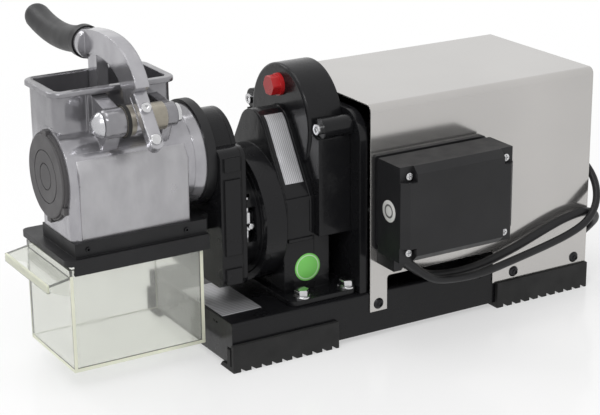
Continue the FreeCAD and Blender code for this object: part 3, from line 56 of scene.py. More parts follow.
camera_data = bpy.data.cameras.new("photo_camera")
camera_data.sensor_width = 36.0
camera_data.lens = 105.22
camera_data.clip_start = 0.05
camera = bpy.data.objects.new("photo_camera", camera_data)
camera.location = (-0.7513, -1.2908, 0.6083)
camera.rotation_euler = [math.radians(a) for a in (71.1016, 0.5736, -30.7407)]
scene.collection.objects.link(camera)
scene.camera = camera


# Materials

def finish(name, colour, roughness, metal=0.0, coat=0.0, sheen_of_skin=0.5):
    """A shader with its plain values, and its node tree. The last is how strongly its bare skin mirrors."""
    material = bpy.data.materials.new(name)
    material.use_nodes = True
    shader = material.node_tree.nodes["Principled BSDF"]
    shader.inputs["Base Color"].default_value = (*colour, 1)
    shader.inputs["Roughness"].default_value = roughness
    shader.inputs["Metallic"].default_value = metal
    shader.inputs["Coat Weight"].default_value = coat
    shader.inputs["Coat Roughness"].default_value = 0.12
    shader.inputs["Specular IOR Level"].default_value = sheen_of_skin
    return material, material.node_tree, shader


def add(tree, kind, values=None, operation=None):
    """A node of this kind. Each value is a number or colour, or the output that feeds that input."""
    made = tree.nodes.new("ShaderNode" + kind)
    if operation:
        made.operation = operation
    for socket, value in (values or {}).items():
        if isinstance(value, bpy.types.NodeSocket):
            tree.links.new(value, made.inputs[socket])
        else:
            made.inputs[socket].default_value = value
    return made


def on_piece(tree):
    """Places on the piece itself, in metres of the scene."""
    return add(tree, "TexCoord").outputs["Object"]


def grain(tree, scale, detail=3.0, stretch=(1, 1, 1)):
    """Noise fixed to the piece. stretch draws it out along X, Y or Z."""
    mapping = add(tree, "Mapping", {"Vector": on_piece(tree), "Scale": stretch})
    noise = add(tree, "TexNoise", {"Vector": mapping.outputs["Vector"], "Scale": scale, "Detail": detail})
    return noise.outputs["Fac"]


def vary(tree, source, low, high, socket):
    """Lets a value wander between two levels."""
    ramp = add(tree, "MapRange", {"Value": source, "From Min": 0.3, "From Max": 0.7, "To Min": low, "To Max": high})
    tree.links.new(ramp.outputs["Result"], socket)


def tint(tree, source, dark, light, socket, start=0.3, end=0.7):
    """Lets the colour wander between two shades."""
    ramp = add(tree, "ValToRGB", {"Fac": source})
    ramp.color_ramp.elements[0].position = start
    ramp.color_ramp.elements[0].color = (*dark, 1)
    ramp.color_ramp.elements[1].position = end
    ramp.color_ramp.elements[1].color = (*light, 1)
    tree.links.new(ramp.outputs["Color"], socket)


def relief(tree, shader, layers, edge=0.0):
    """Bumps on the surface, coarse to fine, as (source, strength, height in metres).
    edge is the radius that sharp edges look rounded by."""
    normal = None
    if edge:
        soft = add(tree, "Bevel", {"Radius": edge})
        soft.samples = 4
        normal = soft.outputs["Normal"]
    for source, strength, height in layers:
        bump = add(tree, "Bump", {"Height": source, "Strength": strength, "Distance": height})
        if normal:
            tree.links.new(normal, bump.inputs["Normal"])
        normal = bump.outputs["Normal"]
    tree.links.new(normal, shader.inputs["Normal"])


def black_enamel(name, colour, low, high):
    """Sprayed enamel on a casting: deep black, a little orange peel, soft bright edges."""
    material, tree, shader = finish(name, colour, low, coat=0.14, sheen_of_skin=0.16)
    shader.inputs["Coat Roughness"].default_value = 0.05
    vary(tree, grain(tree, 60), low, high, shader.inputs["Roughness"])
    relief(tree, shader, [(grain(tree, 120, 2), 0.20, 0.0010), (grain(tree, 900, 2), 0.08, 0.0002)], 0.0016)
    return material


def brushed_sheet():
    """Bright stainless sheet with faint brush lines along the machine."""
    material, tree, shader = finish("brushed_sheet", (0.50, 0.487, 0.472), 0.15, 0.80)
    lines = grain(tree, 60, 4, (0.6, 30, 30))
    vary(tree, lines, 0.14, 0.17, shader.inputs["Roughness"])
    tint(tree, grain(tree, 9, 2), (0.48, 0.468, 0.454), (0.52, 0.506, 0.490), shader.inputs["Base Color"])
    relief(tree, shader, [(grain(tree, 5, 1), 0.06, 0.004), (lines, 0.002, 0.0001)], 0.0005)
    return material


def polished_casting(name, dark, light, waves, low, high):
    """Cast aluminium, ground and polished by hand: grey, with shallow waves and fine pits."""
    material, tree, shader = finish(name, light, low, 0.70)
    tint(tree, grain(tree, 75, 6, (1, 1, 0.5)), dark, light, shader.inputs["Base Color"], 0.36, 0.64)
    vary(tree, grain(tree, 34, 4), low, high, shader.inputs["Roughness"])
    relief(tree, shader, [(grain(tree, 24, 2, (1, 1, 0.35)), waves, 0.010), (grain(tree, 520, 4), 0.09, 0.0004)],
           0.0018)
    return material


def machined(name, colour, roughness, scale=500):
    """Turned, ground or plated metal with faint tool marks."""
    material, tree, shader = finish(name, colour, roughness, 1.0)
    vary(tree, grain(tree, scale, 3), roughness * 0.75, roughness * 1.35, shader.inputs["Roughness"])
    darker = [c * 0.82 for c in colour]
    tint(tree, grain(tree, 90, 2), darker, colour, shader.inputs["Base Color"])
    relief(tree, shader, [(grain(tree, scale * 2, 2), 0.06, 0.0001)], 0.0003)
    return material


def moulded(name, colour, low, high, scale=1400, strength=0.22, coat=0.0):
    """Moulded plastic or rubber with the grain of its mould."""
    material, tree, shader = finish(name, colour, low, coat=coat, sheen_of_skin=0.3)
    vary(tree, grain(tree, 70, 3), low, high, shader.inputs["Roughness"])
    lighter = [min(1, c * 1.25 + 0.002) for c in colour]
    tint(tree, grain(tree, 24, 3), colour, lighter, shader.inputs["Base Color"])
    relief(tree, shader, [(grain(tree, scale, 2), strength, 0.0002)], 0.0004)
    return material


def clear_acrylic():
    """Bent and glued acrylic sheet, clear with a pale yellow-green depth. It casts a light shadow."""
    material, tree, shader = finish("clear_acrylic", (0.86, 0.867, 0.835), 0.05)
    shader.inputs["Transmission Weight"].default_value = 0.92
    shader.inputs["IOR"].default_value = 1.49
    vary(tree, grain(tree, 45, 3), 0.03, 0.12, shader.inputs["Roughness"])
    relief(tree, shader, [(grain(tree, 14, 2), 0.05, 0.002)])
    output = tree.nodes["Material Output"]
    depth = add(tree, "VolumeAbsorption", {"Color": (0.80, 0.85, 0.69, 1), "Density": 10.0})
    tree.links.new(depth.outputs["Volume"], output.inputs["Volume"])
    # A Transparent shader for rays to the lamps keeps the shadow light
    through = add(tree, "BsdfTransparent", {"Color": (0.90, 0.91, 0.89, 1)})
    either = add(tree, "MixShader", {"Fac": add(tree, "LightPath").outputs["Is Shadow Ray"],
                                     1: shader.outputs["BSDF"], 2: through.outputs["BSDF"]})
    tree.links.new(either.outputs["Shader"], output.inputs["Surface"])
    return material


def lined_plate(name, centre, way, pitch, share):
    """Plain silver plate with grey lines across way, one each pitch, that take this share of it."""
    material, tree, shader = finish(name, (0.62, 0.62, 0.63), 0.34, 0.6)
    mapping = add(tree, "Mapping", {"Vector": on_piece(tree), "Location": [-c for c in centre]})
    along = add(tree, "VectorMath", {0: mapping.outputs["Vector"], 1: way}, "DOT_PRODUCT")
    count = add(tree, "Math", {0: along.outputs["Value"], 1: pitch}, "DIVIDE")
    part = add(tree, "Math", {0: count.outputs[0]}, "FRACT")
    tint(tree, part.outputs[0], (0.32, 0.32, 0.33), (0.58, 0.58, 0.60), shader.inputs["Base Color"],
         share, share + 0.10)
    relief(tree, shader, [(grain(tree, 700, 2), 0.05, 0.0001)], 0.0002)
    return material


def ringed(name, centre, inner, outer, field, ring):
    """Plain round sticker with one pale ring."""
    material, tree, shader = finish(name, field, 0.35)
    reach = add(tree, "VectorMath", {0: on_piece(tree), 1: centre}, "DISTANCE")
    middle = add(tree, "Math", {0: reach.outputs["Value"], 1: (inner + outer) / 2}, "SUBTRACT")
    off = add(tree, "Math", {0: middle.outputs[0]}, "ABSOLUTE")
    share = add(tree, "Math", {0: off.outputs[0], 1: outer - inner}, "DIVIDE")
    tint(tree, share.outputs[0], ring, field, shader.inputs["Base Color"], 0.46, 0.54)
    vary(tree, grain(tree, 300, 2), 0.28, 0.42, shader.inputs["Roughness"])
    return material


def shade_painted_above(material, low, high, share):
    """Painted shade: darkens a finish's colour from one height to another, as on the hopper, standing in for the
    dark surroundings that its polished walls mirror.
    """
    tree = material.node_tree
    axes = add(tree, "SeparateXYZ", {"Vector": on_piece(tree)})
    level = add(tree, "MapRange", {"Value": axes.outputs["Z"], "From Min": low, "From Max": high,
                                   "To Min": 1.0, "To Max": share})
    shader = tree.nodes["Principled BSDF"]
    skin = shader.inputs["Base Color"].links[0].from_socket
    shade = add(tree, "VectorMath", {0: skin, "Scale": level.outputs["Result"]}, "SCALE")
    tree.links.new(shade.outputs["Vector"], shader.inputs["Base Color"])


case_black = black_enamel("case_enamel", (0.008, 0.008, 0.009), 0.18, 0.30)
base_black = black_enamel("base_enamel", (0.007, 0.007, 0.008), 0.24, 0.38)
stainless = brushed_sheet()
casting = polished_casting("polished_casting", (0.335, 0.33, 0.35), (0.405, 0.40, 0.42), 0.34, 0.09, 0.22)
lever_casting = polished_casting("lever_casting", (0.37, 0.365, 0.385), (0.43, 0.425, 0.445), 0.22, 0.10, 0.22)
# Painted shade: the casting's colour is darkened above about 196 mm, on the hopper, for the dark surroundings it
# mirrors
shade_painted_above(casting, 0.196, 0.214, 0.66)
ground_casting = polished_casting("ground_casting", (0.375, 0.37, 0.385), (0.43, 0.425, 0.44), 0.10, 0.26, 0.38)
steel = machined("ground_steel", (0.56, 0.56, 0.58), 0.24)
zinc = machined("zinc_plate", (0.63, 0.63, 0.64), 0.20, 350)
bronze = machined("pale_bronze", (0.34, 0.315, 0.265), 0.38, 800)
laminations = machined("core_sheets", (0.30, 0.30, 0.33), 0.42, 900)
copper = machined("enamelled_copper", (0.55, 0.24, 0.10), 0.30, 700)
black_oxide = machined("black_oxide", (0.035, 0.035, 0.037), 0.34, 600)
black_plastic = moulded("black_plastic", (0.009, 0.009, 0.010), 0.36, 0.48)
cap_plastic = moulded("cap_plastic", (0.072, 0.069, 0.071), 0.46, 0.58)
lid_plastic = moulded("lid_plastic", (0.010, 0.010, 0.011), 0.36, 0.48, 1100, 0.30)
rubber = moulded("foot_rubber", (0.016, 0.016, 0.016), 0.62, 0.78, 1800, 0.30)
grip_rubber = moulded("grip_rubber", (0.017, 0.017, 0.018), 0.40, 0.52, 1600, 0.25)
red_plastic = moulded("red_plastic", (0.36, 0.010, 0.012), 0.24, 0.36, 900, 0.10, 0.15)
white_plastic = moulded("white_can", (0.70, 0.70, 0.67), 0.45, 0.55)
cord_jacket = moulded("cord_jacket", (0.009, 0.009, 0.010), 0.38, 0.50, 1500, 0.15)
acrylic = clear_acrylic()

slot_finish = {
    "base_paint": base_black, "case_paint": case_black, "stainless": stainless, "steel": steel,
    "zinc": zinc, "black_screw": black_oxide, "cast_alu": casting, "bronze": bronze,
    "black_plastic": black_plastic, "rubber": rubber, "grip_rubber": grip_rubber,
    "red_plastic": red_plastic, "clear_plastic": acrylic, "silicon_steel": laminations,
    "copper": copper, "cord_jacket": cord_jacket, "matte_white": white_plastic}


def paint(node, material):
    """Puts a finish on all of a CAD node."""
    mesh = nodes[node].data
    if not mesh.materials:
        mesh.materials.append(material)
    for k in range(len(mesh.materials)):
        mesh.materials[k] = material


for subpart in frame["record"]["subparts"]:
    paint(subpart["node"], slot_finish[subpart["material_slot"]])
for name in ("lever_arm", "stop_bar"):
    paint(name, lever_casting)
for name in ("box_lid", "box_body"):
    paint(name, lid_plastic)
paint("end_cap", cap_plastic)


# Cords, with the route's points of the part's source

cord_d, lead_d = 8.0, 7.0
gland_tilt = math.radians(40)
gland_way = Vector((math.cos(gland_tilt), 0, -math.sin(gland_tilt)))
gland_x, gland_z, gland_reach = 20.0, 77.0, 22.04
straight_out = 13.0
mains_y, lead_y = -89.0, -99.5
mains_start = Vector((gland_x, mains_y, gland_z)) + gland_way * gland_reach
lead_start = Vector((gland_x, lead_y, gland_z)) + gland_way * gland_reach
lying_z = 4.3
lead_in_y, lead_in_z = -54.0, 129.0
panel_left = 214.0

mains_route = [
    mains_start, mains_start + gland_way * straight_out, (64, -88.8, 48.5), (106, -88, 47), (150, -88, 57.5),
    (184, -88, 69), (209, -88.3, 76.5), (233, -89, 79), (252, -81.5, 67.5), (253, -65, 50.5), (252, -43, 31),
    (253.5, -14, 12), (255, 20, lying_z), (254, 54, lying_z), (248, 85, lying_z), (233, 113, lying_z)]
lead_route = [
    lead_start, lead_start + gland_way * straight_out, (62, -99, 47.5), (104, -98.5, 44.5), (146, -98, 51.5),
    (180, -98, 57.5), (208, -98, 64), (227, -97.5, 72), (239.5, -94, 85), (245.5, -86, 99),
    (247, -74, 111.5), (243, -62, 122), (228, lead_in_y, lead_in_z), (panel_left - 4, lead_in_y, lead_in_z)]

# The coil: three turns on the floor, from the outside in, then two and a half on them, from the
# inside out. From one turn to the next the cord moves over within 60 degrees.
coil_x, coil_y = 160.0, 148.0
turn_out, turn_mid, turn_in = 52.0, 44.0, 36.0
floor_turn_z = 4.8
upper_turn_z = floor_turn_z + cord_d
floor_sweep, upper_sweep = 3 * 360, 870
upper_moves = (240, 540)
move_sweep = 60
step_deg = 30
control = 1 / math.cos(math.radians(step_deg / 2))


def eased(low, high, share):
    """From low to high as share goes from 0 to 1, with soft ends."""
    share = max(0.0, min(1.0, share))
    return low + (high - low) * share * share * (3 - 2 * share)


def coil_points():
    """Control points of the turns, angle by angle."""
    rings = (turn_out, turn_mid, turn_in, turn_in, turn_in)
    points = []
    for a in range(0, floor_sweep + upper_sweep + 1, step_deg):
        if a <= floor_sweep:
            turn, rest = divmod(a, 360)
            r = eased(rings[turn], rings[turn + 1], (rest - 360 + move_sweep) / move_sweep)
            z = eased(floor_turn_z, upper_turn_z, (a - floor_sweep + move_sweep) / move_sweep)
        else:
            b = a - floor_sweep
            r = sum((eased(0, cord_d, (b - start) / move_sweep) for start in upper_moves), turn_in)
            z = upper_turn_z
        angle = math.radians(a)
        points.append((coil_x + r * control * math.cos(angle), coil_y + r * control * math.sin(angle), z))
    return points


# From the upper outer turn the cord bends up into the plug, which lies on the coil
plug_x, plug_y, plug_z = 142.0, 118.0, 33.6
plug_approach = [(108, 150, 14.5), (111.5, 135.5, 18.5), (122, 123.5, 25), (136, 118.5, 31.5),
                 (150, plug_y, plug_z), (160, plug_y, plug_z)]


def cord_curve(name, points, diameter, body):
    """A round cord along a smooth curve that starts at the first point and ends at the last."""
    curve = bpy.data.curves.new(name, "CURVE")
    curve.dimensions = "3D"
    curve.bevel_depth = diameter / 2000
    curve.bevel_resolution = 5
    curve.resolution_u = 8
    curve.use_fill_caps = True
    spline = curve.splines.new("NURBS")
    spline.points.add(len(points) - 1)
    for point, spot in zip(spline.points, points):
        point.co = (*at(*spot), 1)
    spline.order_u = 3
    spline.use_endpoint_u = True
    cord = bpy.data.objects.new(name, curve)
    scene.collection.objects.link(cord)
    curve.materials.append(cord_jacket)
    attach(cord, body)
    return cord


mains = cord_curve("mains_lead", mains_route + coil_points() + plug_approach, cord_d, "frame")
motor_cable = cord_curve("motor_cable", lead_route, lead_d, "frame")


# Ways of modelling

def clear():
    """Leaves edit mode and deselects everything."""
    if bpy.context.object and bpy.context.object.mode != "OBJECT":
        bpy.ops.object.mode_set(mode="OBJECT")
    bpy.ops.object.select_all(action="DESELECT")


def choose(piece, test):
    """Selects the faces whose middle and normal pass the test, in edit mode."""
    bpy.ops.object.mode_set(mode="EDIT")
    bpy.ops.mesh.select_all(action="DESELECT")
    bpy.ops.mesh.select_mode(type="FACE")
    bpy.ops.object.mode_set(mode="OBJECT")
    for face in piece.data.polygons:
        face.select = test(face.center, face.normal)
    bpy.ops.object.mode_set(mode="EDIT")


def place(piece, name, body, material, centre=(0, 0, 0), way=(0, 0, 1), turn=0.0, smooth=35):
    """Takes a piece drawn in millimetres about Z to its seat: Z turns to way."""
    bpy.ops.object.mode_set(mode="OBJECT")
    aim = Vector((0, 0, 1)).rotation_difference(Vector(way)).to_matrix().to_4x4()
    piece.matrix_world = (Matrix.Translation(at(*centre)) @ aim
                          @ Matrix.Rotation(math.radians(turn), 4, "Z") @ Matrix.Scale(0.001, 4))
    clear()
    piece.select_set(True)
    bpy.context.view_layer.objects.active = piece
    bpy.ops.object.transform_apply(location=True, rotation=True, scale=True)
    bpy.ops.object.shade_smooth_by_angle(angle=math.radians(smooth))
    piece.name = name
    piece.data.name = name
    piece.data.materials.clear()
    piece.data.materials.append(material)
    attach(piece, body)
    return piece


def soften(piece, width, segments=2, angle=35):
    """Rounds the sharp edges."""
    bpy.ops.object.mode_set(mode="OBJECT")
    bevel = piece.modifiers.new("edges", "BEVEL")
    bevel.width = width
    bevel.segments = segments
    bevel.limit_method = "ANGLE"
    bevel.angle_limit = math.radians(angle)
    bpy.ops.object.modifier_apply(modifier=bevel.name)


def outward():
    """Merges doubles and turns the faces outwards."""
    bpy.ops.object.mode_set(mode="EDIT")
    bpy.ops.mesh.select_mode(type="VERT")
    bpy.ops.mesh.select_all(action="SELECT")
    bpy.ops.mesh.remove_doubles(threshold=0.0005)
    bpy.ops.mesh.normals_make_consistent(inside=False)
    bpy.ops.object.mode_set(mode="OBJECT")


def turned(steps, sides=48):
    """A turned form: a disc drawn out along Z, ring by ring, as (height, radius)."""
    clear()
    bpy.ops.mesh.primitive_circle_add(vertices=sides, radius=steps[0][1], fill_type="NGON",
                                      location=(0, 0, steps[0][0]))
    piece = bpy.context.object
    bpy.ops.object.transform_apply(location=True, rotation=False, scale=False)
    bpy.ops.object.mode_set(mode="EDIT")
    bpy.ops.mesh.select_all(action="SELECT")
    for (z0, r0), (z1, r1) in zip(steps, steps[1:]):
        bpy.ops.mesh.extrude_region_move(TRANSFORM_OT_translate={"value": (0, 0, z1 - z0)})
        bpy.ops.transform.resize(value=(r1 / r0, r1 / r0, 1), center_override=(0, 0, z1))
    outward()
    return piece


def prism(outline, x0, x1, edge=0.5):
    """An outline of (y, z) points drawn out along X, with rounded edges."""
    clear()
    bpy.ops.mesh.primitive_circle_add(vertices=len(outline), fill_type="NGON")
    piece = bpy.context.object
    for vertex, (y, z) in zip(piece.data.vertices, outline):
        vertex.co = (x0, y, z)
    bpy.ops.object.mode_set(mode="EDIT")
    bpy.ops.mesh.select_all(action="SELECT")
    bpy.ops.mesh.extrude_region_move(TRANSFORM_OT_translate={"value": (x1 - x0, 0, 0)})
    outward()
    soften(piece, edge)
    return piece


def block(x, y, z, edge=0.5, segments=2):
    """A bar of this size about the middle, with rounded edges."""
    clear()
    bpy.ops.mesh.primitive_cube_add(size=1)
    piece = bpy.context.object
    piece.scale = (x, y, z)
    bpy.ops.object.transform_apply(location=False, rotation=False, scale=True)
    soften(piece, edge, segments)
    return piece


def hexagon(steps):
    """A hexagonal form drawn out along Z, as (height, size across the flats)."""
    return turned([(z, across / 2 / math.cos(math.pi / 6)) for z, across in steps], 6)


def tube(low, high, outer, inner, edge=0.3):
    """A plain ring along Z."""
    piece = turned([(low, outer), (high, outer)], 64)
    choose(piece, lambda c, n: abs(n.z) > 0.9)
    bpy.ops.mesh.inset(thickness=outer - inner)
    bpy.ops.mesh.bridge_edge_loops()
    outward()
    soften(piece, edge)
    return piece


def socketed(steps, across, depth):
    """A turned screw head with a socket sunk in its end."""
    piece = turned(steps, 48)
    top = steps[-1][0]
    choose(piece, lambda c, n: n.z > 0.9 and c.z > top - 0.01)
    bpy.ops.mesh.inset(thickness=max(0.1, steps[-1][1] - across / 2))
    bpy.ops.mesh.extrude_region_move(TRANSFORM_OT_translate={"value": (0, 0, -depth)})
    outward()
    return piece


# Plug and ties of the coil

plug_long, plug_r = 51.0, 17.4
pin_apart = 19.0
plug_body = turned([(0, 4.5), (2, 5.0), (18, 6.4), (20, 7.2), (22, 8.4), (28, 13.2), (33, 16.6), (36, plug_r),
                    (49.5, plug_r), (plug_long, 16.4)], 56)
soften(plug_body, 0.5)
place(plug_body, "plug_moulding", "frame", cord_jacket, (plug_x, plug_y, plug_z), (1, 0, 0))
for side, label in ((-1, "near"), (1, "far")):
    pin = turned([(0, 2.4), (16.5, 2.4), (18.2, 1.9), (19, 1.0)], 24)
    place(pin, "plug_pin_" + label, "frame", zinc,
                             (plug_x + plug_long - 0.1, plug_y + side * pin_apart / 2, plug_z), (1, 0, 0))
    clip = block(12.0, 6.0, 0.8, 0.3)
    place(clip, "earth_clip_" + label, "frame", zinc,
                             (plug_x + 43.5, plug_y, plug_z + side * (plug_r - 0.1)))

for k, angle in enumerate((70, 200, 320)):
    tie = block(5.0, 3 * cord_d + 1.6, 2 * cord_d + 1.2, 1.6, 3)
    choose(tie, lambda c, n: abs(n.x) > 0.9)
    bpy.ops.mesh.inset(thickness=0.55)
    bpy.ops.mesh.bridge_edge_loops()
    outward()
    centre = (coil_x + turn_mid * math.cos(math.radians(angle)),
              coil_y + turn_mid * math.sin(math.radians(angle)), (floor_turn_z + upper_turn_z) / 2)
    place(tie, "coil_tie_%d" % (k + 1), "frame", black_plastic, centre, (0, 0, 1), angle + 90)

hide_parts("mains_cord", "cord_coil")
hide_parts("mains_plug")
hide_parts("motor_lead")


# Plain plates and stickers

case_low_r, case_top_r, case_half = 58.0, 22.5, 55.0
output_z, counter_z = 110.0, 178.0
flank = math.asin((case_low_r - case_top_r) / (counter_z - output_z))
side_top = math.acos(case_half / case_low_r)


def case_outline(low_z, end, parts=5):
    """The gear case's near outline from low_z up to an angle on its small round, as (y, z)."""
    points = []
    if low_z < output_z + case_low_r * math.sin(side_top):
        points.append((-case_half, low_z))
        for k in range(parts):
            a = side_top + (flank - side_top) * k / parts
            points.append((-case_low_r * math.cos(a), output_z + case_low_r * math.sin(a)))
        low_z = output_z + case_low_r * math.sin(flank)
    rise = counter_z + case_top_r * math.sin(flank) - low_z
    points.append((-case_top_r * math.cos(flank) - rise * math.tan(flank), low_z))
    for k in range(parts + 1):
        a = flank + (end - flank) * k / parts
        points.append((-case_top_r * math.cos(a), counter_z + case_top_r * math.sin(a)))
    return points


def strip(x0, x1, outline, thick):
    """A strip from x0 to x1 that follows an outline of the gear case, half its thickness inside."""
    clear()
    bpy.ops.mesh.primitive_plane_add(size=1)
    piece = bpy.context.object
    corners = [(x0, outline[0]), (x1, outline[0]), (x0, outline[1]), (x1, outline[1])]
    for vertex, (x, (y, z)) in zip(piece.data.vertices, corners):
        vertex.co = (x, y, z)
    bpy.ops.object.mode_set(mode="EDIT")
    bpy.ops.mesh.select_all(action="DESELECT")
    bpy.ops.mesh.select_mode(type="VERT")
    bpy.ops.object.mode_set(mode="OBJECT")
    for vertex in piece.data.vertices:
        vertex.select = vertex.index > 1
    bpy.ops.object.mode_set(mode="EDIT")
    for (y0, z0), (y1, z1) in zip(outline[1:], outline[2:]):
        bpy.ops.mesh.extrude_region_move(TRANSFORM_OT_translate={"value": (0, y1 - y0, z1 - z0)})
    outward()
    wall = piece.modifiers.new("thickness", "SOLIDIFY")
    wall.thickness = thick
    wall.offset = 0.0
    wall.use_even_offset = True
    bpy.ops.object.modifier_apply(modifier=wall.name)
    return piece


label_left, label_right = -64.5, -46.8
case_label = strip(label_left, label_right, case_outline(144, math.radians(57.6)), 0.4)
place(case_label, "case_plate", "frame",
      lined_plate("case_plate", at(-55, -40, 170), (1, 0, 0), 0.0018, 0.30))
for name, x0, x1 in (("seam_bead", -45.6, -43.4), ("nose_bead", -69.8, -67.8)):
    bead = strip(x0, x1, case_outline(101, math.radians(88), 8), 2.0)
    soften(bead, 0.6, 2, 50)
    place(bead, name, "frame", case_black)

base_top = 42.8
base_plate = block(38.0, 73.0, 0.5, 0.15)
place(base_plate, "base_plate", "frame",
      lined_plate("base_plate", at(-115, -21, 42), (0, 1, 0), 0.0032, 0.24), (-115, -21.5, base_top))

green, pale_green = (0.19, 0.62, 0.115), (0.55, 0.78, 0.50)
sticker = turned([(0, 12.5), (0.25, 12.5), (0.35, 12.3)], 64)
place(sticker, "round_sticker", "frame",
      ringed("green_sticker", at(-47, -53, 68), 0.0102, 0.0112, green, pale_green),
      (-47, -53.0, 68), (0, -1, 0))

mark_at = (1.3, -107.3, 125.8)
mark = turned([(0, 9.6), (0.25, 9.6), (0.35, 9.4)], 48)
place(mark, "box_mark", "frame",
      ringed("pale_mark", at(*mark_at), 0.0045, 0.0062, (0.62, 0.62, 0.60), (0.10, 0.10, 0.10)),
      mark_at, (-1, 0, 0))


# Small fasteners and stops that the solids leave out

lever_x, pivot_y, pivot_z = -198.0, -43.0, 222.0
pin_end = turned([(0, 10.6), (0.8, 10.4), (3.4, 9.0), (5.6, 7.0), (7.0, 4.8), (7.5, 2.6)])
place(pin_end, "pivot_end_cap", "frame", steel, (-231, pivot_y, pivot_z), (-1, 0, 0))
ring = tube(0, 3.3, 13.7, 12.9)
place(ring, "pivot_ring", "frame", rubber, (-212.0, pivot_y, pivot_z), (1, 0, 0))

bar_lean = math.radians(52)
bar_out = Vector((0, -math.sin(bar_lean), math.cos(bar_lean)))
bar_way = Vector((0, -math.cos(bar_lean), -math.sin(bar_lean)))
bar_face = Vector((lever_x, pivot_y, pivot_z)) + bar_out * 20.0
bar_screw = socketed([(0, 4.4), (2.6, 4.4), (3.2, 3.8)], 3.6, 1.8)
place(bar_screw, "bar_screw", "lever", zinc, bar_face, bar_out)
bar_pad = turned([(0, 4.6), (1.2, 4.6), (2.0, 3.9), (2.3, 2.2)], 40)
place(bar_pad, "bar_pad", "lever", zinc, bar_face + bar_way * 27, bar_out)

foot_top, bolt_y = 47.6, 66.0
for x, row in ((-60.4, "front"), (-15.2, "rear")):
    for side, label in ((-1, "near"), (1, "far")):
        washer = turned([(0, 7.8), (1.4, 7.8), (1.9, 7.2), (2.0, 6.4)], 48)
        place(washer, "bolt_washer_%s_%s" % (row, label), "frame", zinc,
              (x, side * bolt_y, foot_top + 0.02))
        head = hexagon([(1.6, 11.6), (6.4, 11.6), (7.2, 10.4)])
        soften(head, 0.3)
        place(head, "bolt_head_%s_%s" % (row, label), "frame", zinc,
              (x, side * bolt_y, foot_top), (0, 0, 1), 12)

clamp_nut = hexagon([(-5.0, 9.8), (-4.2, 10.8), (10.6, 10.8), (11.4, 9.8)])
soften(clamp_nut, 0.3)
place(clamp_nut, "clamp_nut", "frame", zinc, (-98, -38, 113))

cover_side, screw_z = 82.9, 31.5
for x, column in ((8.7, "left"), (155.8, "middle"), (225.8, "right")):
    for side, label in ((-1, "near"), (1, "far")):
        socket = socketed([(0, 2.6), (0.9, 2.5), (1.1, 2.2)], 3.2, 0.9)
        place(socket, "cover_socket_%s_%s" % (column, label), "frame", black_oxide,
              (x, side * cover_side, screw_z), (0, side, 0))

panel_right = panel_left + 2.0
for y, label in ((-66, "near"), (66, "far")):
    for z, level in ((60, "low"), (195, "high")):
        head = socketed([(0, 3.4), (1.2, 3.3), (2.0, 2.2)], 2.4, 1.0)
        place(head, "panel_screw_%s_%s" % (label, level), "frame", black_oxide,
              (panel_right, y, z), (1, 0, 0))


# Ground face of the head: a flat shoulder down from the barrel, a ridge and the near side

face_outline = [(-41.7, 127.6), (-42.9, 182.0), (-32.4, 198.2), (-30.5, 196.0), (-38.0, 176.0), (-38.0, 127.6)]
head_face = prism(face_outline, -250.5, -153.4, 0.7)
place(head_face, "head_face", "frame", ground_casting)


# Cut edges of the drawer's sheets, which show as pale lines

drawer_left, drawer_right, drawer_half = -264.6, -143.9, 44.9
drawer_bottom, edge_top, sheet = 16.4, 100.6, 3.0
edge_proud = 0.06
edge_plastic = moulded("cut_acrylic", (0.70, 0.71, 0.58), 0.30, 0.45)
for side, label in ((-1, "near"), (1, "far")):
    y = side * (drawer_half + edge_proud)
    for x, end in ((drawer_left + sheet / 2, "left"), (drawer_right - sheet / 2, "right")):
        upright = block(sheet, 0.3, edge_top - drawer_bottom - sheet, 0.1, 1)
        place(upright, "drawer_edge_%s_%s" % (label, end), "drawer", edge_plastic,
              (x, y, (edge_top + drawer_bottom + sheet) / 2))
    sill = block(drawer_right - drawer_left, 0.3, sheet, 0.1, 1)
    place(sill, "drawer_sill_" + label, "drawer", edge_plastic,
          ((drawer_left + drawer_right) / 2, y, drawer_bottom + sheet / 2))
sill = block(0.3, 2 * drawer_half, sheet, 0.1, 1)
place(sill, "drawer_sill_left", "drawer", edge_plastic,
      (drawer_left - edge_proud, 0, drawer_bottom + sheet / 2))

handle_tip, handle_low, handle_high = drawer_left - 20.0, 90.0, 97.0
handle_core = block(1.7, 2 * drawer_half - 1, handle_high - handle_low - 0.8, 0.2, 1)
place(handle_core, "handle_edge", "drawer", edge_plastic,
      (handle_tip + 1.25, 0, (handle_low + handle_high) / 2))


# Floor, backdrop and light

def bright_rays(tree, low, seen, mirrored):
    """low for rays that light the object, then the level that the eye sees and that gloss and glass see."""
    path = add(tree, "LightPath")
    levels = [
        add(tree, "MapRange", {"Value": path.outputs[ray], "To Min": low, "To Max": high}).outputs["Result"]
        for ray, high in (("Is Camera Ray", seen), ("Is Glossy Ray", mirrored), ("Is Transmission Ray", seen))]
    most = add(tree, "Math", {0: levels[2], 1: levels[1]}, "MAXIMUM")
    return add(tree, "Math", {0: levels[0], 1: most.outputs[0]}, "MAXIMUM").outputs[0]


world = bpy.data.worlds.new("studio")
scene.world = world
world.use_nodes = True
sky = world.node_tree.nodes["Background"]
sky.inputs["Color"].default_value = (1, 1, 1, 1)
world.node_tree.links.new(bright_rays(world.node_tree, 0.70, 1.0, 1.0), sky.inputs["Strength"])

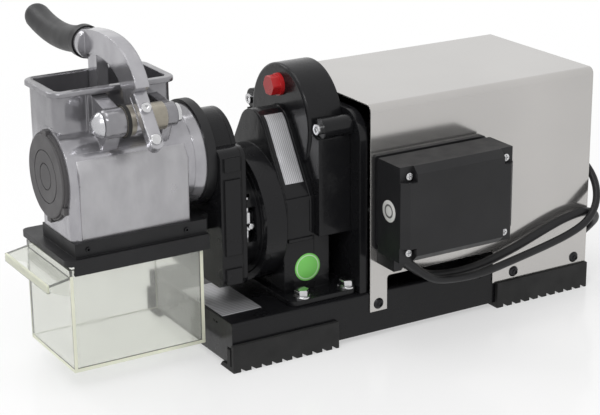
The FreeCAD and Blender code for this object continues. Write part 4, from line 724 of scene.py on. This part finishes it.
clear()
bpy.ops.mesh.primitive_plane_add(size=9, location=(0, 0, -0.0003))
floor = bpy.context.object
bpy.ops.object.transform_apply(location=True, rotation=True, scale=True)
floor.name = "studio_floor"
floor_material, floor_tree, floor_shader = finish("studio_floor", (0.93, 0.93, 0.93), 0.16)
vary(floor_tree, grain(floor_tree, 6, 2), 0.13, 0.20, floor_shader.inputs["Roughness"])
# The floor keeps the shadows near the object and fades to white away from it
away = add(floor_tree, "VectorMath", {0: on_piece(floor_tree)}, "LENGTH")
fade = add(floor_tree, "MapRange", {"Value": away.outputs["Value"], "From Min": 0.35, "From Max": 0.95})
near_level = bright_rays(floor_tree, 0.0, 0.50, 0.95)
seen_share = bright_rays(floor_tree, 0.0, 1.0, 1.0)
rest = add(floor_tree, "Math", {0: near_level, 1: -1.0, 2: 1.0}, "MULTIPLY_ADD")
far_share = add(floor_tree, "Math", {0: fade.outputs["Result"], 1: seen_share}, "MULTIPLY")
white = add(floor_tree, "Math", {0: rest.outputs[0], 1: far_share.outputs[0], 2: near_level}, "MULTIPLY_ADD")
glow = add(floor_tree, "Emission", {"Color": (1, 1, 1, 1)})
blend = add(floor_tree, "MixShader", {"Fac": white.outputs[0], 1: floor_shader.outputs["BSDF"],
                                      2: glow.outputs["Emission"]})
floor_tree.links.new(blend.outputs["Shader"], floor_tree.nodes["Material Output"].inputs["Surface"])
floor.data.materials.append(floor_material)


def softbox(name, stand, aim, size, power):
    """A soft rectangular lamp at stand that points to aim."""
    lamp = bpy.data.lights.new(name, "AREA")
    lamp.shape = "RECTANGLE"
    lamp.size, lamp.size_y = size
    lamp.energy = power
    stood = bpy.data.objects.new(name, lamp)
    stood.location = stand
    stood.rotation_euler = (Vector(aim) - Vector(stand)).to_track_quat("-Z", "Y").to_euler()
    scene.collection.objects.link(stood)


softbox("key_box", (-0.9, -0.9, 1.3), (0, 0, 0.12), (0.4, 0.4), 7.0)
softbox("top_box", (-0.15, 0.1, 1.6), (0, 0, 0.15), (0.9, 0.7), 5.0)
softbox("rear_box", (-0.5, 1.1, 1.2), (0, 0, 0.15), (0.6, 0.6), 3.0)

scene.view_settings.view_transform = "Standard"
